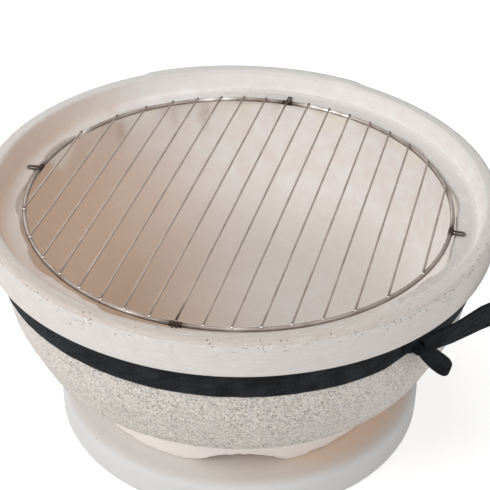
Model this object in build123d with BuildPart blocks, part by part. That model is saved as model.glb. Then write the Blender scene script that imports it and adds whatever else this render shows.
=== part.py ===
from build123d import *
import math
import os

# A tabletop tandoor: a fired clay bowl on a foot ring, standing on a round
# clay plate. A wire grate hangs in the rim, and a webbing strap under the rim
# carries two lifting loops. Millimetres, +Z up, the origin on the bowl's axis
# where the plate meets the table. The front, with its vent arch, is near -Y.

os.makedirs("parts", exist_ok=True)

# Bowl, rim: the band overhangs the seat that the strap lies on
rim_radius = 184.0
rim_width = 10.2
rim_band_height = 27.5
rim_band_taper = 3.0
rim_overhang = 13.6
rim_outer_round = 3.0
rim_inner_round = 2.0
shoulder_slope = 0.6
shoulder_round = 2.2

# Bowl, outside: each draft is how far the wall has drawn in since the last
# radius, and heights are above the bowl's own underside
bowl_height = 140.0
seat_rise = 85.0
seat_round = 20.0
belly_draft = 3.9
belly_rise = 59.0
belly_round = 60.0
skirt_draft = 15.0
skirt_rise = 21.0
skirt_round = 7.0
underside_draft = 32.5
underside_round = 4.0

# Bowl, inside: a ledge in the rim carries the grate, and the wall below it
# runs down to a flat floor
recess_depth = 15.4
recess_taper = 4.6
recess_round = 4.0
ledge_width = 14.2
throat_round = 1.6
floor_draft = 14.0
floor_thickness = 23.0
floor_round = 52.0

# Foot ring, which stands on the plate on the lands between its vent arches
foot_inset = 4.5
foot_wall = 16.0
foot_height = 25.0
foot_round = 1.5
arch_count = 4
arch_width = 65.0
arch_rise = 10.0
arch_turn = -73.0

# Base plate, a plain thick disc of fired clay; the bowl was set down on it a
# little off its middle
plate_margin = 23.0
plate_thickness = 24.0
plate_shift_x = 2.8
plate_shift_y = 0.7
plate_top_round = 4.0
plate_low_round = 2.5

# Flutes: shallow scoops that notch the ledge and run out down the wall
flute_count = 12
flute_turn = 16.5
flute_reach = 4.0
flute_scoop_radius = 45.0
flute_drop = 27.0
flute_runout = 9.0

# Grate: one heavy ring with straight rods welded across its top
ring_wire = 3.2
ring_play = 1.5
rod_wire = 1.6
rods_each_side = 8
rod_edge_space = 11.1
weld_gap = 0.05

# Grate lugs: hairpins of thin wire held to the ring by crimped collars
lug_count = 4
lug_wire = 1.4
lug_spacing = 3.7
lug_overlap = 7.2
lug_seat_gap = 0.2
collar_wall = 0.4
collar_length = 8.0

# Webbing: the strap round the bowl, the loops, their knots and loose tails
webbing_width = 20.0
webbing_thickness = 2.0
strap_gap = 0.3
strap_top_gap = 3.2
handle_turn = -4.5
handle_half_angle = 28.5
handle_lift_angle = 38.0
handle_crown_round = 40.0
handle_pinch = 12.0
handle_pinch_length = 26.0
pivot_standoff = 4.8
knot_length = 16.0
knot_depth = 12.5
knot_proud = 1.5
knot_round = 3.0
knot_gap = 0.2
handle_gap = 1.0
tail_length = 24.0
tail_droop = 14.0
tail_widest_at = 13.2
tail_widest_droop = 5.0
tail_width = 15.0
tail_root_width = 7.0
tail_tip_width = 10.0

# Radii that follow from the sizes above, from the rim inwards and downwards
seat_radius = rim_radius - rim_overhang
belly_radius = seat_radius - belly_draft
skirt_radius = belly_radius - skirt_draft
underside_radius = skirt_radius - underside_draft
foot_radius = underside_radius - foot_inset
plate_radius = foot_radius + plate_margin
throat_radius = rim_radius - rim_width - recess_taper - ledge_width
floor_radius = throat_radius - floor_draft

# Heights that follow from the sizes above
plate_top = plate_thickness
foot_top = plate_top + foot_height
bowl_base = foot_top
rim_top = bowl_base + bowl_height
band_low = rim_top - rim_band_height
ledge_top = rim_top - recess_depth
floor_top = bowl_base + floor_thickness
strap_top = band_low - shoulder_slope - strap_top_gap
strap_middle = strap_top - webbing_width / 2
strap_inner = seat_radius + strap_gap
strap_outer = strap_inner + webbing_thickness

# Radii and heights of the grate
ring_radius = throat_radius - ring_play - ring_wire / 2
ring_height = ledge_top + lug_seat_gap + lug_wire / 2
rod_height = ring_height + ring_wire / 2 + weld_gap + rod_wire / 2
rod_pitch = (ring_radius - rod_edge_space) / rods_each_side
collar_radius = ring_wire / 2 + weld_gap + collar_wall
collar_shoulder = math.sqrt(collar_radius**2 - (ring_wire / 2 + weld_gap) ** 2)

# The pivot line of a loop runs through its two knots
pivot_radius = strap_outer + pivot_standoff
pivot_half = pivot_radius * math.sin(math.radians(handle_half_angle))
pivot_offset = pivot_radius * math.cos(math.radians(handle_half_angle))


def upright_plane(angle, height):
    """Level plane whose Y points outwards at this angle round the bowl."""
    turn = math.radians(angle)
    return Plane(
        origin=(0, 0, height),
        x_dir=(math.sin(turn), -math.cos(turn), 0),
        z_dir=(0, 0, 1),
    )


def facing_plane(angle, radius, height):
    """Upright plane that faces outwards at this angle, at this radius."""
    turn = math.radians(angle)
    return Plane(
        origin=(radius * math.cos(turn), radius * math.sin(turn), height),
        x_dir=(-math.sin(turn), math.cos(turn), 0),
        z_dir=(math.cos(turn), math.sin(turn), 0),
    )


def finish(part, label):
    """Name a finished piece and write it."""
    part.label = label
    export_step(part, f"parts/{label}.step")


# Base plate
with BuildPart() as base_plate:
    with BuildSketch(Plane.XY):
        with Locations((plate_shift_x, plate_shift_y)):
            Circle(plate_radius)
    extrude(amount=plate_thickness)
    fillet(base_plate.edges().group_by(Axis.Z)[-1], plate_top_round)
    fillet(base_plate.edges().group_by(Axis.Z)[0], plate_low_round)
finish(base_plate.part, "base_plate")

# Foot ring with a vent arch cut through each quarter
with BuildPart() as foot_ring:
    with BuildSketch(Plane.XY.offset(plate_top)):
        Circle(foot_radius)
        Circle(foot_radius - foot_wall, mode=Mode.SUBTRACT)
    extrude(amount=foot_height)
    fillet(foot_ring.edges().group_by(Axis.Z)[0], foot_round)
    for arch in range(arch_count):
        arch_angle = arch_turn + arch * 360 / arch_count
        with BuildSketch(facing_plane(arch_angle, 0, plate_top)):
            with BuildLine():
                ThreePointArc((-arch_width / 2, 0), (0, arch_rise), (arch_width / 2, 0))
                Line((arch_width / 2, 0), (-arch_width / 2, 0))
            make_face()
        extrude(amount=foot_radius + foot_wall, mode=Mode.SUBTRACT)
finish(foot_ring.part, "foot_ring")

# Bowl, turned about its axis from one outline of wall, rim, ledge and floor
bowl_outline = [
    (0, bowl_base),
    (underside_radius, bowl_base),
    (skirt_radius, bowl_base + skirt_rise),
    (belly_radius, bowl_base + belly_rise),
    (seat_radius, bowl_base + seat_rise),
    (seat_radius, band_low - shoulder_slope),
    (rim_radius - rim_band_taper, band_low),
    (rim_radius, rim_top),
    (rim_radius - rim_width, rim_top),
    (rim_radius - rim_width - recess_taper, ledge_top),
    (throat_radius, ledge_top),
    (floor_radius, floor_top),
    (0, floor_top),
]
bowl_rounds = [
    underside_round,
    skirt_round,
    belly_round,
    seat_round,
    shoulder_round,
    shoulder_round,
    rim_outer_round,
    rim_inner_round,
    recess_round,
    throat_round,
    floor_round,
]
flute_middle = throat_radius + flute_reach - flute_scoop_radius
flute_clear = recess_round
flute_spread = flute_clear * flute_runout / flute_drop
with BuildPart() as bowl:
    with BuildSketch(Plane.XZ):
        with BuildLine():
            FilletPolyline(*bowl_outline, radius=bowl_rounds)
            Line((0, floor_top), (0, bowl_base))
        make_face()
    revolve(axis=Axis.Z)
    with Locations((0, 0, ledge_top - flute_drop)):
        with PolarLocations(flute_middle, flute_count, start_angle=flute_turn):
            Cone(
                bottom_radius=flute_scoop_radius - flute_runout,
                top_radius=flute_scoop_radius + flute_spread,
                height=flute_drop + flute_clear,
                align=(Align.CENTER, Align.CENTER, Align.MIN),
                mode=Mode.SUBTRACT,
            )
finish(bowl.part, "bowl")

# Strap round the bowl, snug under the overhang of the rim band
with BuildPart() as strap_band:
    with BuildSketch(Plane.XY.offset(strap_top - webbing_width)):
        Circle(strap_outer)
        Circle(strap_inner, mode=Mode.SUBTRACT)
    extrude(amount=webbing_width)
finish(strap_band.part, "strap_band")


def make_loop(label, angle):
    """One lifting loop: webbing on edge, bunched narrower at both knots."""
    reach = pivot_half * math.tan(math.radians(handle_lift_angle))
    with BuildPart() as loop:
        with BuildSketch(upright_plane(angle, strap_middle - webbing_width / 2)):
            with BuildLine() as centre:
                FilletPolyline(
                    (-pivot_half, pivot_offset),
                    (0, pivot_offset + reach),
                    (pivot_half, pivot_offset),
                    radius=handle_crown_round,
                )
            trace(centre.line, line_width=webbing_thickness)
        extrude(amount=webbing_width)
        # Side view of the loop: full width at the crown, less at the knots
        end = pivot_half + webbing_thickness
        full = pivot_half - handle_pinch_length
        with BuildSketch(facing_plane(angle, 0, strap_middle)):
            with BuildLine():
                Polyline(
                    (-end, -handle_pinch / 2),
                    (-full, -webbing_width / 2),
                    (full, -webbing_width / 2),
                    (end, -handle_pinch / 2),
                    (end, handle_pinch / 2),
                    (full, webbing_width / 2),
                    (-full, webbing_width / 2),
                    (-end, handle_pinch / 2),
                    close=True,
                )
            make_face()
        extrude(amount=pivot_offset + reach, mode=Mode.INTERSECT)
    finish(loop.part, label)


def make_knot(label, angle, side):
    """Knot that grips the strap; its flat side faces the loop's end."""
    along = side * (pivot_half + handle_gap + knot_length / 2)
    outer = pivot_offset + webbing_thickness + knot_proud
    height = webbing_width + 2 * (knot_proud + knot_gap)
    with BuildPart() as knot:
        with BuildSketch(upright_plane(angle, strap_middle - height / 2)):
            with Locations((along, outer - knot_depth / 2)):
                Rectangle(knot_length, knot_depth)
        extrude(amount=height)
        fillet(knot.edges(), knot_round)
        # The wall of the bowl, then the strap that the knot closes round
        with BuildSketch(Plane.XY.offset(strap_middle - height)):
            Circle(strap_inner + knot_gap)
        extrude(amount=2 * height, mode=Mode.SUBTRACT)
        with BuildSketch(Plane.XY.offset(strap_top - webbing_width - knot_gap)):
            Circle(strap_outer + knot_gap)
        extrude(amount=webbing_width + 2 * knot_gap, mode=Mode.SUBTRACT)
    finish(knot.part, label)


def make_tail(label, angle, side):
    """Loose end of the webbing: a leaf that stands out and droops."""
    along = side * (pivot_half + handle_gap + knot_length / 2)
    root = pivot_offset + webbing_thickness + knot_proud + knot_gap
    with BuildPart() as tail:
        # Drooping strip, seen from the side
        with BuildSketch(facing_plane(angle + 90, -along, strap_middle)):
            with BuildLine() as droop:
                ThreePointArc(
                    (-root, 0),
                    (-root - tail_widest_at, -tail_widest_droop),
                    (-root - tail_length, -tail_droop),
                )
            trace(droop.line, line_width=webbing_thickness)
        extrude(amount=tail_width / 2, both=True)
        # Leaf outline, seen from above
        with BuildSketch(upright_plane(angle, strap_middle - webbing_width)):
            with BuildLine():
                Spline(
                    (along - tail_root_width / 2, root + knot_gap),
                    (along - tail_width / 2, root + tail_widest_at),
                    (along - tail_tip_width / 2, root + tail_length),
                )
                Line(
                    (along - tail_tip_width / 2, root + tail_length),
                    (along + tail_tip_width / 2, root + tail_length),
                )
                Spline(
                    (along + tail_tip_width / 2, root + tail_length),
                    (along + tail_width / 2, root + tail_widest_at),
                    (along + tail_root_width / 2, root + knot_gap),
                )
                Line(
                    (along + tail_root_width / 2, root + knot_gap),
                    (along - tail_root_width / 2, root + knot_gap),
                )
            make_face()
        extrude(amount=2 * webbing_width, mode=Mode.INTERSECT)
    finish(tail.part, label)


# The right loop's front knot has the larger local X, the left loop's the
# smaller, because the left side is the right side turned half round
for hand, hand_angle in (("right", handle_turn), ("left", handle_turn + 180)):
    make_loop(f"{hand}_loop", hand_angle)
    front = 1 if hand == "right" else -1
    for end_name, end_side in (("front", front), ("rear", -front)):
        make_knot(f"{hand}_{end_name}_knot", hand_angle, end_side)
        make_tail(f"{hand}_{end_name}_tail", hand_angle, end_side)

# Ring of the grate
with BuildPart() as grate_ring:
    with BuildSketch(Plane.XZ):
        with Locations((ring_radius, ring_height)):
            Circle(ring_wire / 2)
    revolve(axis=Axis.Z)
finish(grate_ring.part, "grate_ring")

# Rods, side by side across the ring; the middle one ends on the shoulders of
# the two collars that it meets
for rod_index in range(-rods_each_side, rods_each_side + 1):
    rod_offset = rod_index * rod_pitch
    rod_half = math.sqrt(ring_radius**2 - rod_offset**2)
    if abs(rod_offset) < collar_length / 2:
        rod_half = ring_radius - collar_shoulder - weld_gap
    rod_plane = Plane(
        origin=(rod_offset, -rod_half, rod_height),
        x_dir=(1, 0, 0),
        z_dir=(0, 1, 0),
    )
    with BuildPart() as grate_rod:
        with BuildSketch(rod_plane):
            Circle(rod_wire / 2)
        extrude(amount=2 * rod_half)
    finish(grate_rod.part, f"grate_rod_{rod_index + rods_each_side + 1:02d}")

# Lugs and their collars, a quarter turn apart
lug_root = ring_radius + collar_radius + weld_gap
lug_tip = throat_radius + lug_overlap
collar_angle = math.degrees(collar_length / ring_radius)
for lug_index in range(lug_count):
    lug_angle = lug_index * 360 / lug_count
    with BuildPart() as grate_lug:
        with BuildLine(upright_plane(lug_angle, ring_height)) as hairpin:
            turn_start = lug_tip - lug_wire / 2 - lug_spacing / 2
            Line((-lug_spacing / 2, lug_root), (-lug_spacing / 2, turn_start))
            ThreePointArc(
                (-lug_spacing / 2, turn_start),
                (0, turn_start + lug_spacing / 2),
                (lug_spacing / 2, turn_start),
            )
            Line((lug_spacing / 2, turn_start), (lug_spacing / 2, lug_root))
        with BuildSketch(Plane(origin=hairpin.line @ 0, z_dir=hairpin.line % 0)):
            Circle(lug_wire / 2)
        sweep(path=hairpin.line)
    finish(grate_lug.part, f"grate_lug_{lug_index + 1}")
    with BuildPart() as grate_collar:
        collar_start = lug_angle - collar_angle / 2
        collar_plane = Plane(
            origin=(0, 0, ring_height),
            x_dir=(
                math.cos(math.radians(collar_start)),
                math.sin(math.radians(collar_start)),
                0,
            ),
            z_dir=(
                math.sin(math.radians(collar_start)),
                -math.cos(math.radians(collar_start)),
                0,
            ),
        )
        with BuildSketch(collar_plane):
            with Locations((ring_radius, 0)):
                Circle(collar_radius)
                Circle(ring_wire / 2 + weld_gap, mode=Mode.SUBTRACT)
        revolve(axis=Axis.Z, revolution_arc=collar_angle)
    finish(grate_collar.part, f"grate_collar_{lug_index + 1}")
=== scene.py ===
# %% [markdown]
# A tabletop tandoor, dressed for its picture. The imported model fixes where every
# piece is and how big it is. This lesson gives each piece its real surface: gritty
# and smooth fired clay, plated wire and black webbing. Lengths are in metres, +Z
# is up, and the front of the tandoor faces -Y.

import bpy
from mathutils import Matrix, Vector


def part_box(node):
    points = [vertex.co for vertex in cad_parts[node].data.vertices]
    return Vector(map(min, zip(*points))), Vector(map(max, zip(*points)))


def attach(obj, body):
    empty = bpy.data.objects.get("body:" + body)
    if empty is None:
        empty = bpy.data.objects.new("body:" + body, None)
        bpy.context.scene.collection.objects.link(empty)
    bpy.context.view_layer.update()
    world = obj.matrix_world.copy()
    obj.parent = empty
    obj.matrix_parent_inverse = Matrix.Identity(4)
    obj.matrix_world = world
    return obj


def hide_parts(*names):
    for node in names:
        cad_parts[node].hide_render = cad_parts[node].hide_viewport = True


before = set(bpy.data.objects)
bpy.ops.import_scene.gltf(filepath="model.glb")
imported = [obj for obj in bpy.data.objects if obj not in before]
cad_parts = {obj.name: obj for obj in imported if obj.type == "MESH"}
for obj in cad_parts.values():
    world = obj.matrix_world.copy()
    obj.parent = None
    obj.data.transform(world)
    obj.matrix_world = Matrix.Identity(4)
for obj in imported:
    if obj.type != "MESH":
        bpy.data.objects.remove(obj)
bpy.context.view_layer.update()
print("pieces in the frame:", len(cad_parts))

# %% Modules and small helpers
import math

import bmesh
import bpy
import numpy as np
from mathutils import Matrix, Vector, noise

MM = 0.001
scene = bpy.context.scene


def linear(code):
    """An sRGB hex colour as the linear colour that a shader works in."""
    parts = [int(code[i:i + 2], 16) / 255 for i in (1, 3, 5)]
    return [p / 12.92 if p <= 0.04045 else ((p + 0.055) / 1.055) ** 2.4 for p in parts] + [1.0]


def fill(node, inputs):
    """Write values into a node's inputs, or link them to a node or to a socket.

    A node given as a value is linked by the first of its outputs that is in use.
    """
    for key, value in inputs.items():
        if isinstance(value, bpy.types.Node):
            value = next(output for output in value.outputs if output.enabled)
        if isinstance(value, bpy.types.NodeSocket):
            node.id_data.links.new(value, node.inputs[key])
        else:
            node.inputs[key].default_value = value


def add_node(tree, kind, inputs=None, **settings):
    """Add a node, set its own settings, then fill or link its inputs."""
    new = tree.nodes.new(kind)
    for name, value in settings.items():
        setattr(new, name, value)
    fill(new, inputs or {})
    return new


def new_mesh(name, points, edges=(), faces=()):
    """A mesh of points, each given as three numbers, with its edges or faces."""
    mesh = bpy.data.meshes.new(name)
    mesh.from_pydata([tuple(p) for p in points], edges, faces)
    return mesh


def put_on_body(mesh, name, body, replaced=()):
    """Make an object of a finished mesh and let it ride on a body."""
    piece = bpy.data.objects.new(name, mesh)
    scene.collection.objects.link(piece)
    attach(piece, body)
    if replaced:
        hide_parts(*replaced)
    print(name, "triangles:", sum(len(face.vertices) - 2 for face in mesh.polygons))


# %% [markdown]
# The camera comes first, because everything is judged through it. The grate's
# wires are parallel and evenly spaced and the clay has round edges, so the photo
# tells where it was taken from: 0.8 m from the bowl's axis and half a metre above
# the grate, through a long lens, a little to the right of the wires.

# %% Camera at the photo's viewpoint
image_pixels = 490
focal_pixels = 1319.5
sensor_width = 36.0
wire_turn = math.radians(14.55)
camera_reach = 0.7989
camera_lift = 0.5014
camera_yaw = 0.0063
camera_pitch = 0.5973
camera_roll = -0.0200

wire_low, wire_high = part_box("grate_rod_09")
wire_height = (wire_low.z + wire_high.z) / 2
heading = camera_yaw - wire_turn
forward = Vector((
    math.sin(heading) * math.cos(camera_pitch),
    math.cos(heading) * math.cos(camera_pitch),
    -math.sin(camera_pitch),
))
level_right = Vector((math.cos(heading), -math.sin(heading), 0))
level_down = forward.cross(level_right)
right = math.cos(camera_roll) * level_right + math.sin(camera_roll) * level_down
up = math.sin(camera_roll) * level_right - math.cos(camera_roll) * level_down
camera_place = Vector((
    camera_reach * math.sin(wire_turn),
    -camera_reach * math.cos(wire_turn),
    wire_height + camera_lift,
))
camera_data = bpy.data.cameras.new("camera")
camera_data.sensor_width = sensor_width
camera_data.lens = focal_pixels / image_pixels * sensor_width
camera = bpy.data.objects.new("camera", camera_data)
camera.matrix_world = Matrix.Translation(camera_place) @ Matrix(
    (right, up, -forward)
).transposed().to_4x4()
scene.collection.objects.link(camera)
scene.camera = camera
print("camera at", [round(v, 4) for v in camera_place], "lens", round(camera_data.lens, 2))

# %% [markdown]
# The light is soft and comes from all round: a big window at the front left, a
# smaller one at the front right, one behind on the left and a weak one overhead,
# over an even fill. Together they light a white card to just under white, so
# colours come out about as they are written. The floor and the sky are white to
# the camera and to shiny metal only, and the floor keeps the soft shadow.

# %% World, lamps and floor
world = bpy.data.worlds.new("studio")
world.use_nodes = True
scene.world = world
sky = world.node_tree
sky.nodes.clear()
fill_strength = 0.30


def seen_directly(tree):
    """A node that is 1 for the camera and in metal and glass, and else 0."""
    path = add_node(tree, "ShaderNodeLightPath").outputs
    seen = add_node(tree, "ShaderNodeMath", {
        0: path["Is Camera Ray"], 1: path["Is Glossy Ray"]}, operation="ADD")
    return add_node(tree, "ShaderNodeMath", {
        0: seen, 1: path["Is Transmission Ray"]}, operation="ADD", use_clamp=True)


strength = add_node(sky, "ShaderNodeMapRange", {
    "Value": seen_directly(sky), "To Min": fill_strength, "To Max": 1.0})
backdrop = add_node(sky, "ShaderNodeBackground", {"Color": linear("#FFFFFF"), "Strength": strength})
add_node(sky, "ShaderNodeOutputWorld", {"Surface": backdrop})


def add_lamp(name, place, power):
    """A square soft white lamp that faces the bowl."""
    data = bpy.data.lights.new(name, "AREA")
    data.size = lamp_width
    data.energy = power
    lamp = bpy.data.objects.new(name, data)
    aim = Vector((0, 0, bowl_middle)) - Vector(place)
    lamp.matrix_world = Matrix.Translation(place) @ aim.to_track_quat("-Z", "Y").to_matrix().to_4x4()
    scene.collection.objects.link(lamp)


lamp_width = 0.9
lamp_reach = 0.98
lamp_height = 0.92
bowl_middle = 0.12
add_lamp("front_left_window", (-lamp_reach, -lamp_reach, lamp_height), 13.4)
add_lamp("front_right_window", (lamp_reach, -lamp_reach, lamp_height), 7.1)
add_lamp("back_left_window", (-lamp_reach, lamp_reach, lamp_height), 5.9)
add_lamp("overhead", (0.01, 0.0, 1.70), 2.9)

floor_size = 8.0
paper_glow = 0.50
half = floor_size / 2
floor_mesh = new_mesh(
    "floor", [(-half, -half, 0), (half, -half, 0), (half, half, 0), (-half, half, 0)],
    faces=[(0, 1, 2, 3)])
floor = bpy.data.objects.new("floor", floor_mesh)
scene.collection.objects.link(floor)
floor_paper = bpy.data.materials.new("white_studio_paper")
floor_paper.use_nodes = True
paper = floor_paper.node_tree
paper.nodes.clear()
lift = add_node(paper, "ShaderNodeMath", {0: seen_directly(paper), 1: paper_glow}, operation="MULTIPLY")
matt = add_node(paper, "ShaderNodeBsdfDiffuse", {"Color": linear("#F2F2F1")})
glow = add_node(paper, "ShaderNodeEmission", {"Strength": lift})
both = add_node(paper, "ShaderNodeAddShader", {0: matt, 1: glow})
add_node(paper, "ShaderNodeOutputMaterial", {"Surface": both})
floor_mesh.materials.append(floor_paper)
scene.view_settings.view_transform = "Standard"

# %% [markdown]
# Fired clay comes in two finishes here. The bowl's wall is chamotte: clay full of
# ground fired grit, so it is matt, pale and speckled, with small pits where grains
# have dropped out. The rim and the inside were smoothed with a wet rib, which
# closes the surface and leaves broken level strokes. One material covers both,
# because they are one piece of clay. Numbers stored on the mesh tell it where it
# is: how gritty a place is, how far inside, how near the chipped outer edge, how
# far in on the ledge, how deep it is scooped, where painted shade lies on the rim's
# top, along the back's outer edge and between the scoops, and how far along the
# outline it lies, so that strokes can follow the wheel. Grains are a millimetre
# across, as the real grit is, and pits a little less. The inside is pale clay,
# painted lighter still to lift the shade of the deep bowl.

# %% Material: gritty chamotte bowl
pale_clay = linear("#DAD7D3")
rose_clay = linear("#DAD0CB")
grey_clay = linear("#CAC9C7")
lifted_inner_clay = linear("#F5F3F1")
lifted_inner_rose_clay = linear("#F1E9E6")
greyer_inside_clay = linear("#D9D0CA")
painted_inner_warm_shade = linear("#E0C3AA")
painted_lit_scoops = linear("#F1ECE0")
painted_rim_top_shade = linear("#C7BBB1")
painted_rim_top_shade_back = linear("#DAD6D2")
stroke_light = linear("#ECE8E3")
light_grain = linear("#F4EEE5")
ochre_grain = linear("#DACAB0")
dark_grain = linear("#9A8F87")
soil_and_shade_clay = linear("#A39890")
painted_cusp_shade = linear("#B39C80")
painted_pit_shade = linear("#675D56")
chipped_white = linear("#FAF8F4")
painted_back_edge_shade = linear("#A5A29C")


def per_metre(millimetres):
    """Noise or Voronoi scale whose cells are this many millimetres wide."""
    return 1000.0 / millimetres


def new_material(name):
    """An empty material with an Object coordinate node and a Principled shader."""
    material = bpy.data.materials.new(name)
    material.use_nodes = True
    tree = material.node_tree
    tree.nodes.clear()
    place = add_node(tree, "ShaderNodeTexCoord").outputs["Object"]
    surface = add_node(tree, "ShaderNodeBsdfPrincipled")
    add_node(tree, "ShaderNodeOutputMaterial", {"Surface": surface})
    return material, tree, place, surface


bowl_low, bowl_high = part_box("bowl")
bowl_base = bowl_low.z
away_from_window = (-0.84, -0.42, -0.60)
greyer_inside_low, greyer_inside_high = 74 * MM, 110 * MM
rim_shade_front, rim_shade_back = -160 * MM, 50 * MM
soil_and_shade_low, soil_and_shade_high = bowl_base + 4 * MM, bowl_base + 34 * MM
stroke_stretch = 8.0
chamotte, tree, place, surface = new_material("fired_chamotte_clay_matt")
grit, inside, arris, rim_top_shade, outline_run, scooped, back_edge_shade, cusp_shade, on_ledge = [
    add_node(tree, "ShaderNodeAttribute", attribute_name=name).outputs["Fac"] for name in (
        "grit", "inside", "arris", "rim_top_shade", "outline_run", "scooped", "back_edge_shade", "cusp_shade",
        "on_ledge")]
split = add_node(tree, "ShaderNodeSeparateXYZ", {"Vector": place})
smooth_share = add_node(tree, "ShaderNodeMath", {0: 1.0, 1: grit}, operation="SUBTRACT")

clouds = add_node(tree, "ShaderNodeTexNoise", {
    "Vector": place, "Scale": per_metre(45), "Detail": 3.0, "Roughness": 0.6})
outer_tint = add_node(tree, "ShaderNodeMix", {
    "Factor": clouds, "A": rose_clay, "B": pale_clay}, data_type="RGBA")
patches = add_node(tree, "ShaderNodeTexNoise", {
    "Vector": place, "Scale": per_metre(15), "Detail": 4.0, "Roughness": 0.65})
patch_share = add_node(tree, "ShaderNodeMapRange", {
    "Value": patches, "From Min": 0.5, "From Max": 0.75, "To Max": 0.6})
outer_tint = add_node(tree, "ShaderNodeMix", {
    "Factor": patch_share, "A": outer_tint, "B": grey_clay}, data_type="RGBA")
rose_share = add_node(tree, "ShaderNodeMapRange", {"Value": patches, "From Min": 0.35, "From Max": 0.62})
# The inside is pale clay, painted lighter still to lift the shade of the deep bowl
inner_tint = add_node(tree, "ShaderNodeMix", {
    "Factor": rose_share, "A": lifted_inner_clay, "B": lifted_inner_rose_clay}, data_type="RGBA")
tint = add_node(tree, "ShaderNodeMix", {
    "Factor": inside, "A": outer_tint, "B": inner_tint}, data_type="RGBA")

# What lies on the clay is kept as coats, from the lowest up: how much, what colour
coats = []

# A warm tan is painted on the inside wall and floor that face away from the window,
# as painted shade; the inside also turns greyer towards the bottom
toward = add_node(tree, "ShaderNodeVectorMath", {0: place, 1: away_from_window}, operation="DOT_PRODUCT")
shade_drift = add_node(tree, "ShaderNodeMapRange", {"Value": clouds, "To Min": 0.06, "To Max": 0.12})
toward = add_node(tree, "ShaderNodeMath", {0: toward, 1: shade_drift}, operation="ADD")
inner_warm_shade_share = add_node(tree, "ShaderNodeMapRange", {
    "Value": toward, "From Min": 0.0, "From Max": 0.13, "To Max": 0.85},
    interpolation_type="SMOOTHSTEP")
inner_warm_shade_share = add_node(tree, "ShaderNodeMath", {0: inner_warm_shade_share, 1: inside}, operation="MULTIPLY")
off_ledge = add_node(tree, "ShaderNodeMath", {0: on_ledge, 1: -0.5, 2: 1.0}, operation="MULTIPLY_ADD")
inner_warm_shade_share = add_node(tree, "ShaderNodeMath", {0: inner_warm_shade_share, 1: off_ledge}, operation="MULTIPLY")
greyer_inside_share = add_node(tree, "ShaderNodeMapRange", {
    "Value": split.outputs["Z"], "From Min": greyer_inside_low, "From Max": greyer_inside_high, "To Min": 0.6, "To Max": 0.0},
    interpolation_type="SMOOTHSTEP")
greyer_inside_share = add_node(tree, "ShaderNodeMath", {0: greyer_inside_share, 1: inside}, operation="MULTIPLY")
coats.append((greyer_inside_share, greyer_inside_clay))
coats.append((inner_warm_shade_share, painted_inner_warm_shade))

# The scoops are painted paler, as painted light on their lit faces
lit_scoop_share = add_node(tree, "ShaderNodeMath", {0: scooped, 1: 0.9}, operation="MULTIPLY")
coats.append((lit_scoop_share, painted_lit_scoops))

# Ochre shade is painted at the back on the points between the scoops, as the soft
# shade along the scoops' edges
cusp_shade_share = add_node(tree, "ShaderNodeMath", {0: cusp_shade, 1: patches}, operation="MULTIPLY")
coats.append((cusp_shade_share, painted_cusp_shade))

# Painted shade darkens the rim's top, which faces up away from the mostly level light,
# lighter towards the back, and the right of the ledge; it ends raggedly at the outer edge
ragged = add_node(tree, "ShaderNodeTexNoise", {
    "Vector": place, "Scale": per_metre(7), "Detail": 3.0, "Roughness": 0.7})
ragged = add_node(tree, "ShaderNodeMath", {0: ragged, 1: rim_top_shade}, operation="ADD")
rim_top_shade_share = add_node(tree, "ShaderNodeMapRange", {
    "Value": ragged, "From Min": 0.80, "From Max": 1.25, "To Max": 0.85})
toward_back = add_node(tree, "ShaderNodeMapRange", {
    "Value": split.outputs["Y"], "From Min": rim_shade_front, "From Max": rim_shade_back})
rim_top_shade_tone = add_node(tree, "ShaderNodeMix", {
    "Factor": toward_back, "A": painted_rim_top_shade, "B": painted_rim_top_shade_back}, data_type="RGBA")
coats.append((rim_top_shade_share, rim_top_shade_tone))

# Strokes of the wet rib: short level streaks, stretched along the wheel's turning
across_strokes = add_node(tree, "ShaderNodeMath", {0: outline_run, 1: stroke_stretch}, operation="MULTIPLY")
stroke_place = add_node(tree, "ShaderNodeCombineXYZ", {
    "X": split.outputs["X"], "Y": split.outputs["Y"], "Z": across_strokes})
strokes = add_node(tree, "ShaderNodeTexNoise", {
    "Vector": stroke_place, "Scale": per_metre(10), "Detail": 4.0, "Roughness": 0.8})
stroke_share = add_node(tree, "ShaderNodeMapRange", {
    "Value": strokes, "From Min": 0.40, "From Max": 0.72, "To Max": 0.5})
stroke_room = add_node(tree, "ShaderNodeMath", {0: inside, 1: -0.8, 2: smooth_share},
    operation="MULTIPLY_ADD", use_clamp=True)
stroke_share = add_node(tree, "ShaderNodeMath", {0: stroke_share, 1: stroke_room}, operation="MULTIPLY")
coats.append((stroke_share, stroke_light))

# Grains, some cream, some ochre, some dark, in the clay round them
grains = add_node(tree, "ShaderNodeTexVoronoi", {
    "Vector": place, "Scale": per_metre(1.0), "Randomness": 1.0})
grain_mix = add_node(tree, "ShaderNodeSeparateColor", {"Color": grains.outputs["Color"]})
for channel, rare, most, shade in (
        ("Red", 0.35, 0.9, light_grain), ("Green", 0.70, 0.45, ochre_grain),
        ("Blue", 0.58, 0.85, dark_grain)):
    share = add_node(tree, "ShaderNodeMapRange", {
        "Value": grain_mix.outputs[channel], "From Min": rare, "From Max": 1.0, "To Max": most})
    share = add_node(tree, "ShaderNodeMath", {0: share, 1: grit}, operation="MULTIPLY")
    coats.append((share, shade))

# The skirt above the foot is painted darker, partly soil and partly painted shade
# under the belly, and painted shade lines the outer edge at the back
low_down = add_node(tree, "ShaderNodeMapRange", {
    "Value": split.outputs["Z"], "From Min": soil_and_shade_low, "From Max": soil_and_shade_high, "To Min": 1.1, "To Max": 0.0})
soil_and_shade_share = add_node(tree, "ShaderNodeMath", {0: low_down, 1: patches}, operation="MULTIPLY")
soil_and_shade_share = add_node(tree, "ShaderNodeMath", {0: soil_and_shade_share, 1: grit}, operation="MULTIPLY")
coats.append((soil_and_shade_share, soil_and_shade_clay))
coats.append((back_edge_shade, painted_back_edge_shade))
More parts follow.
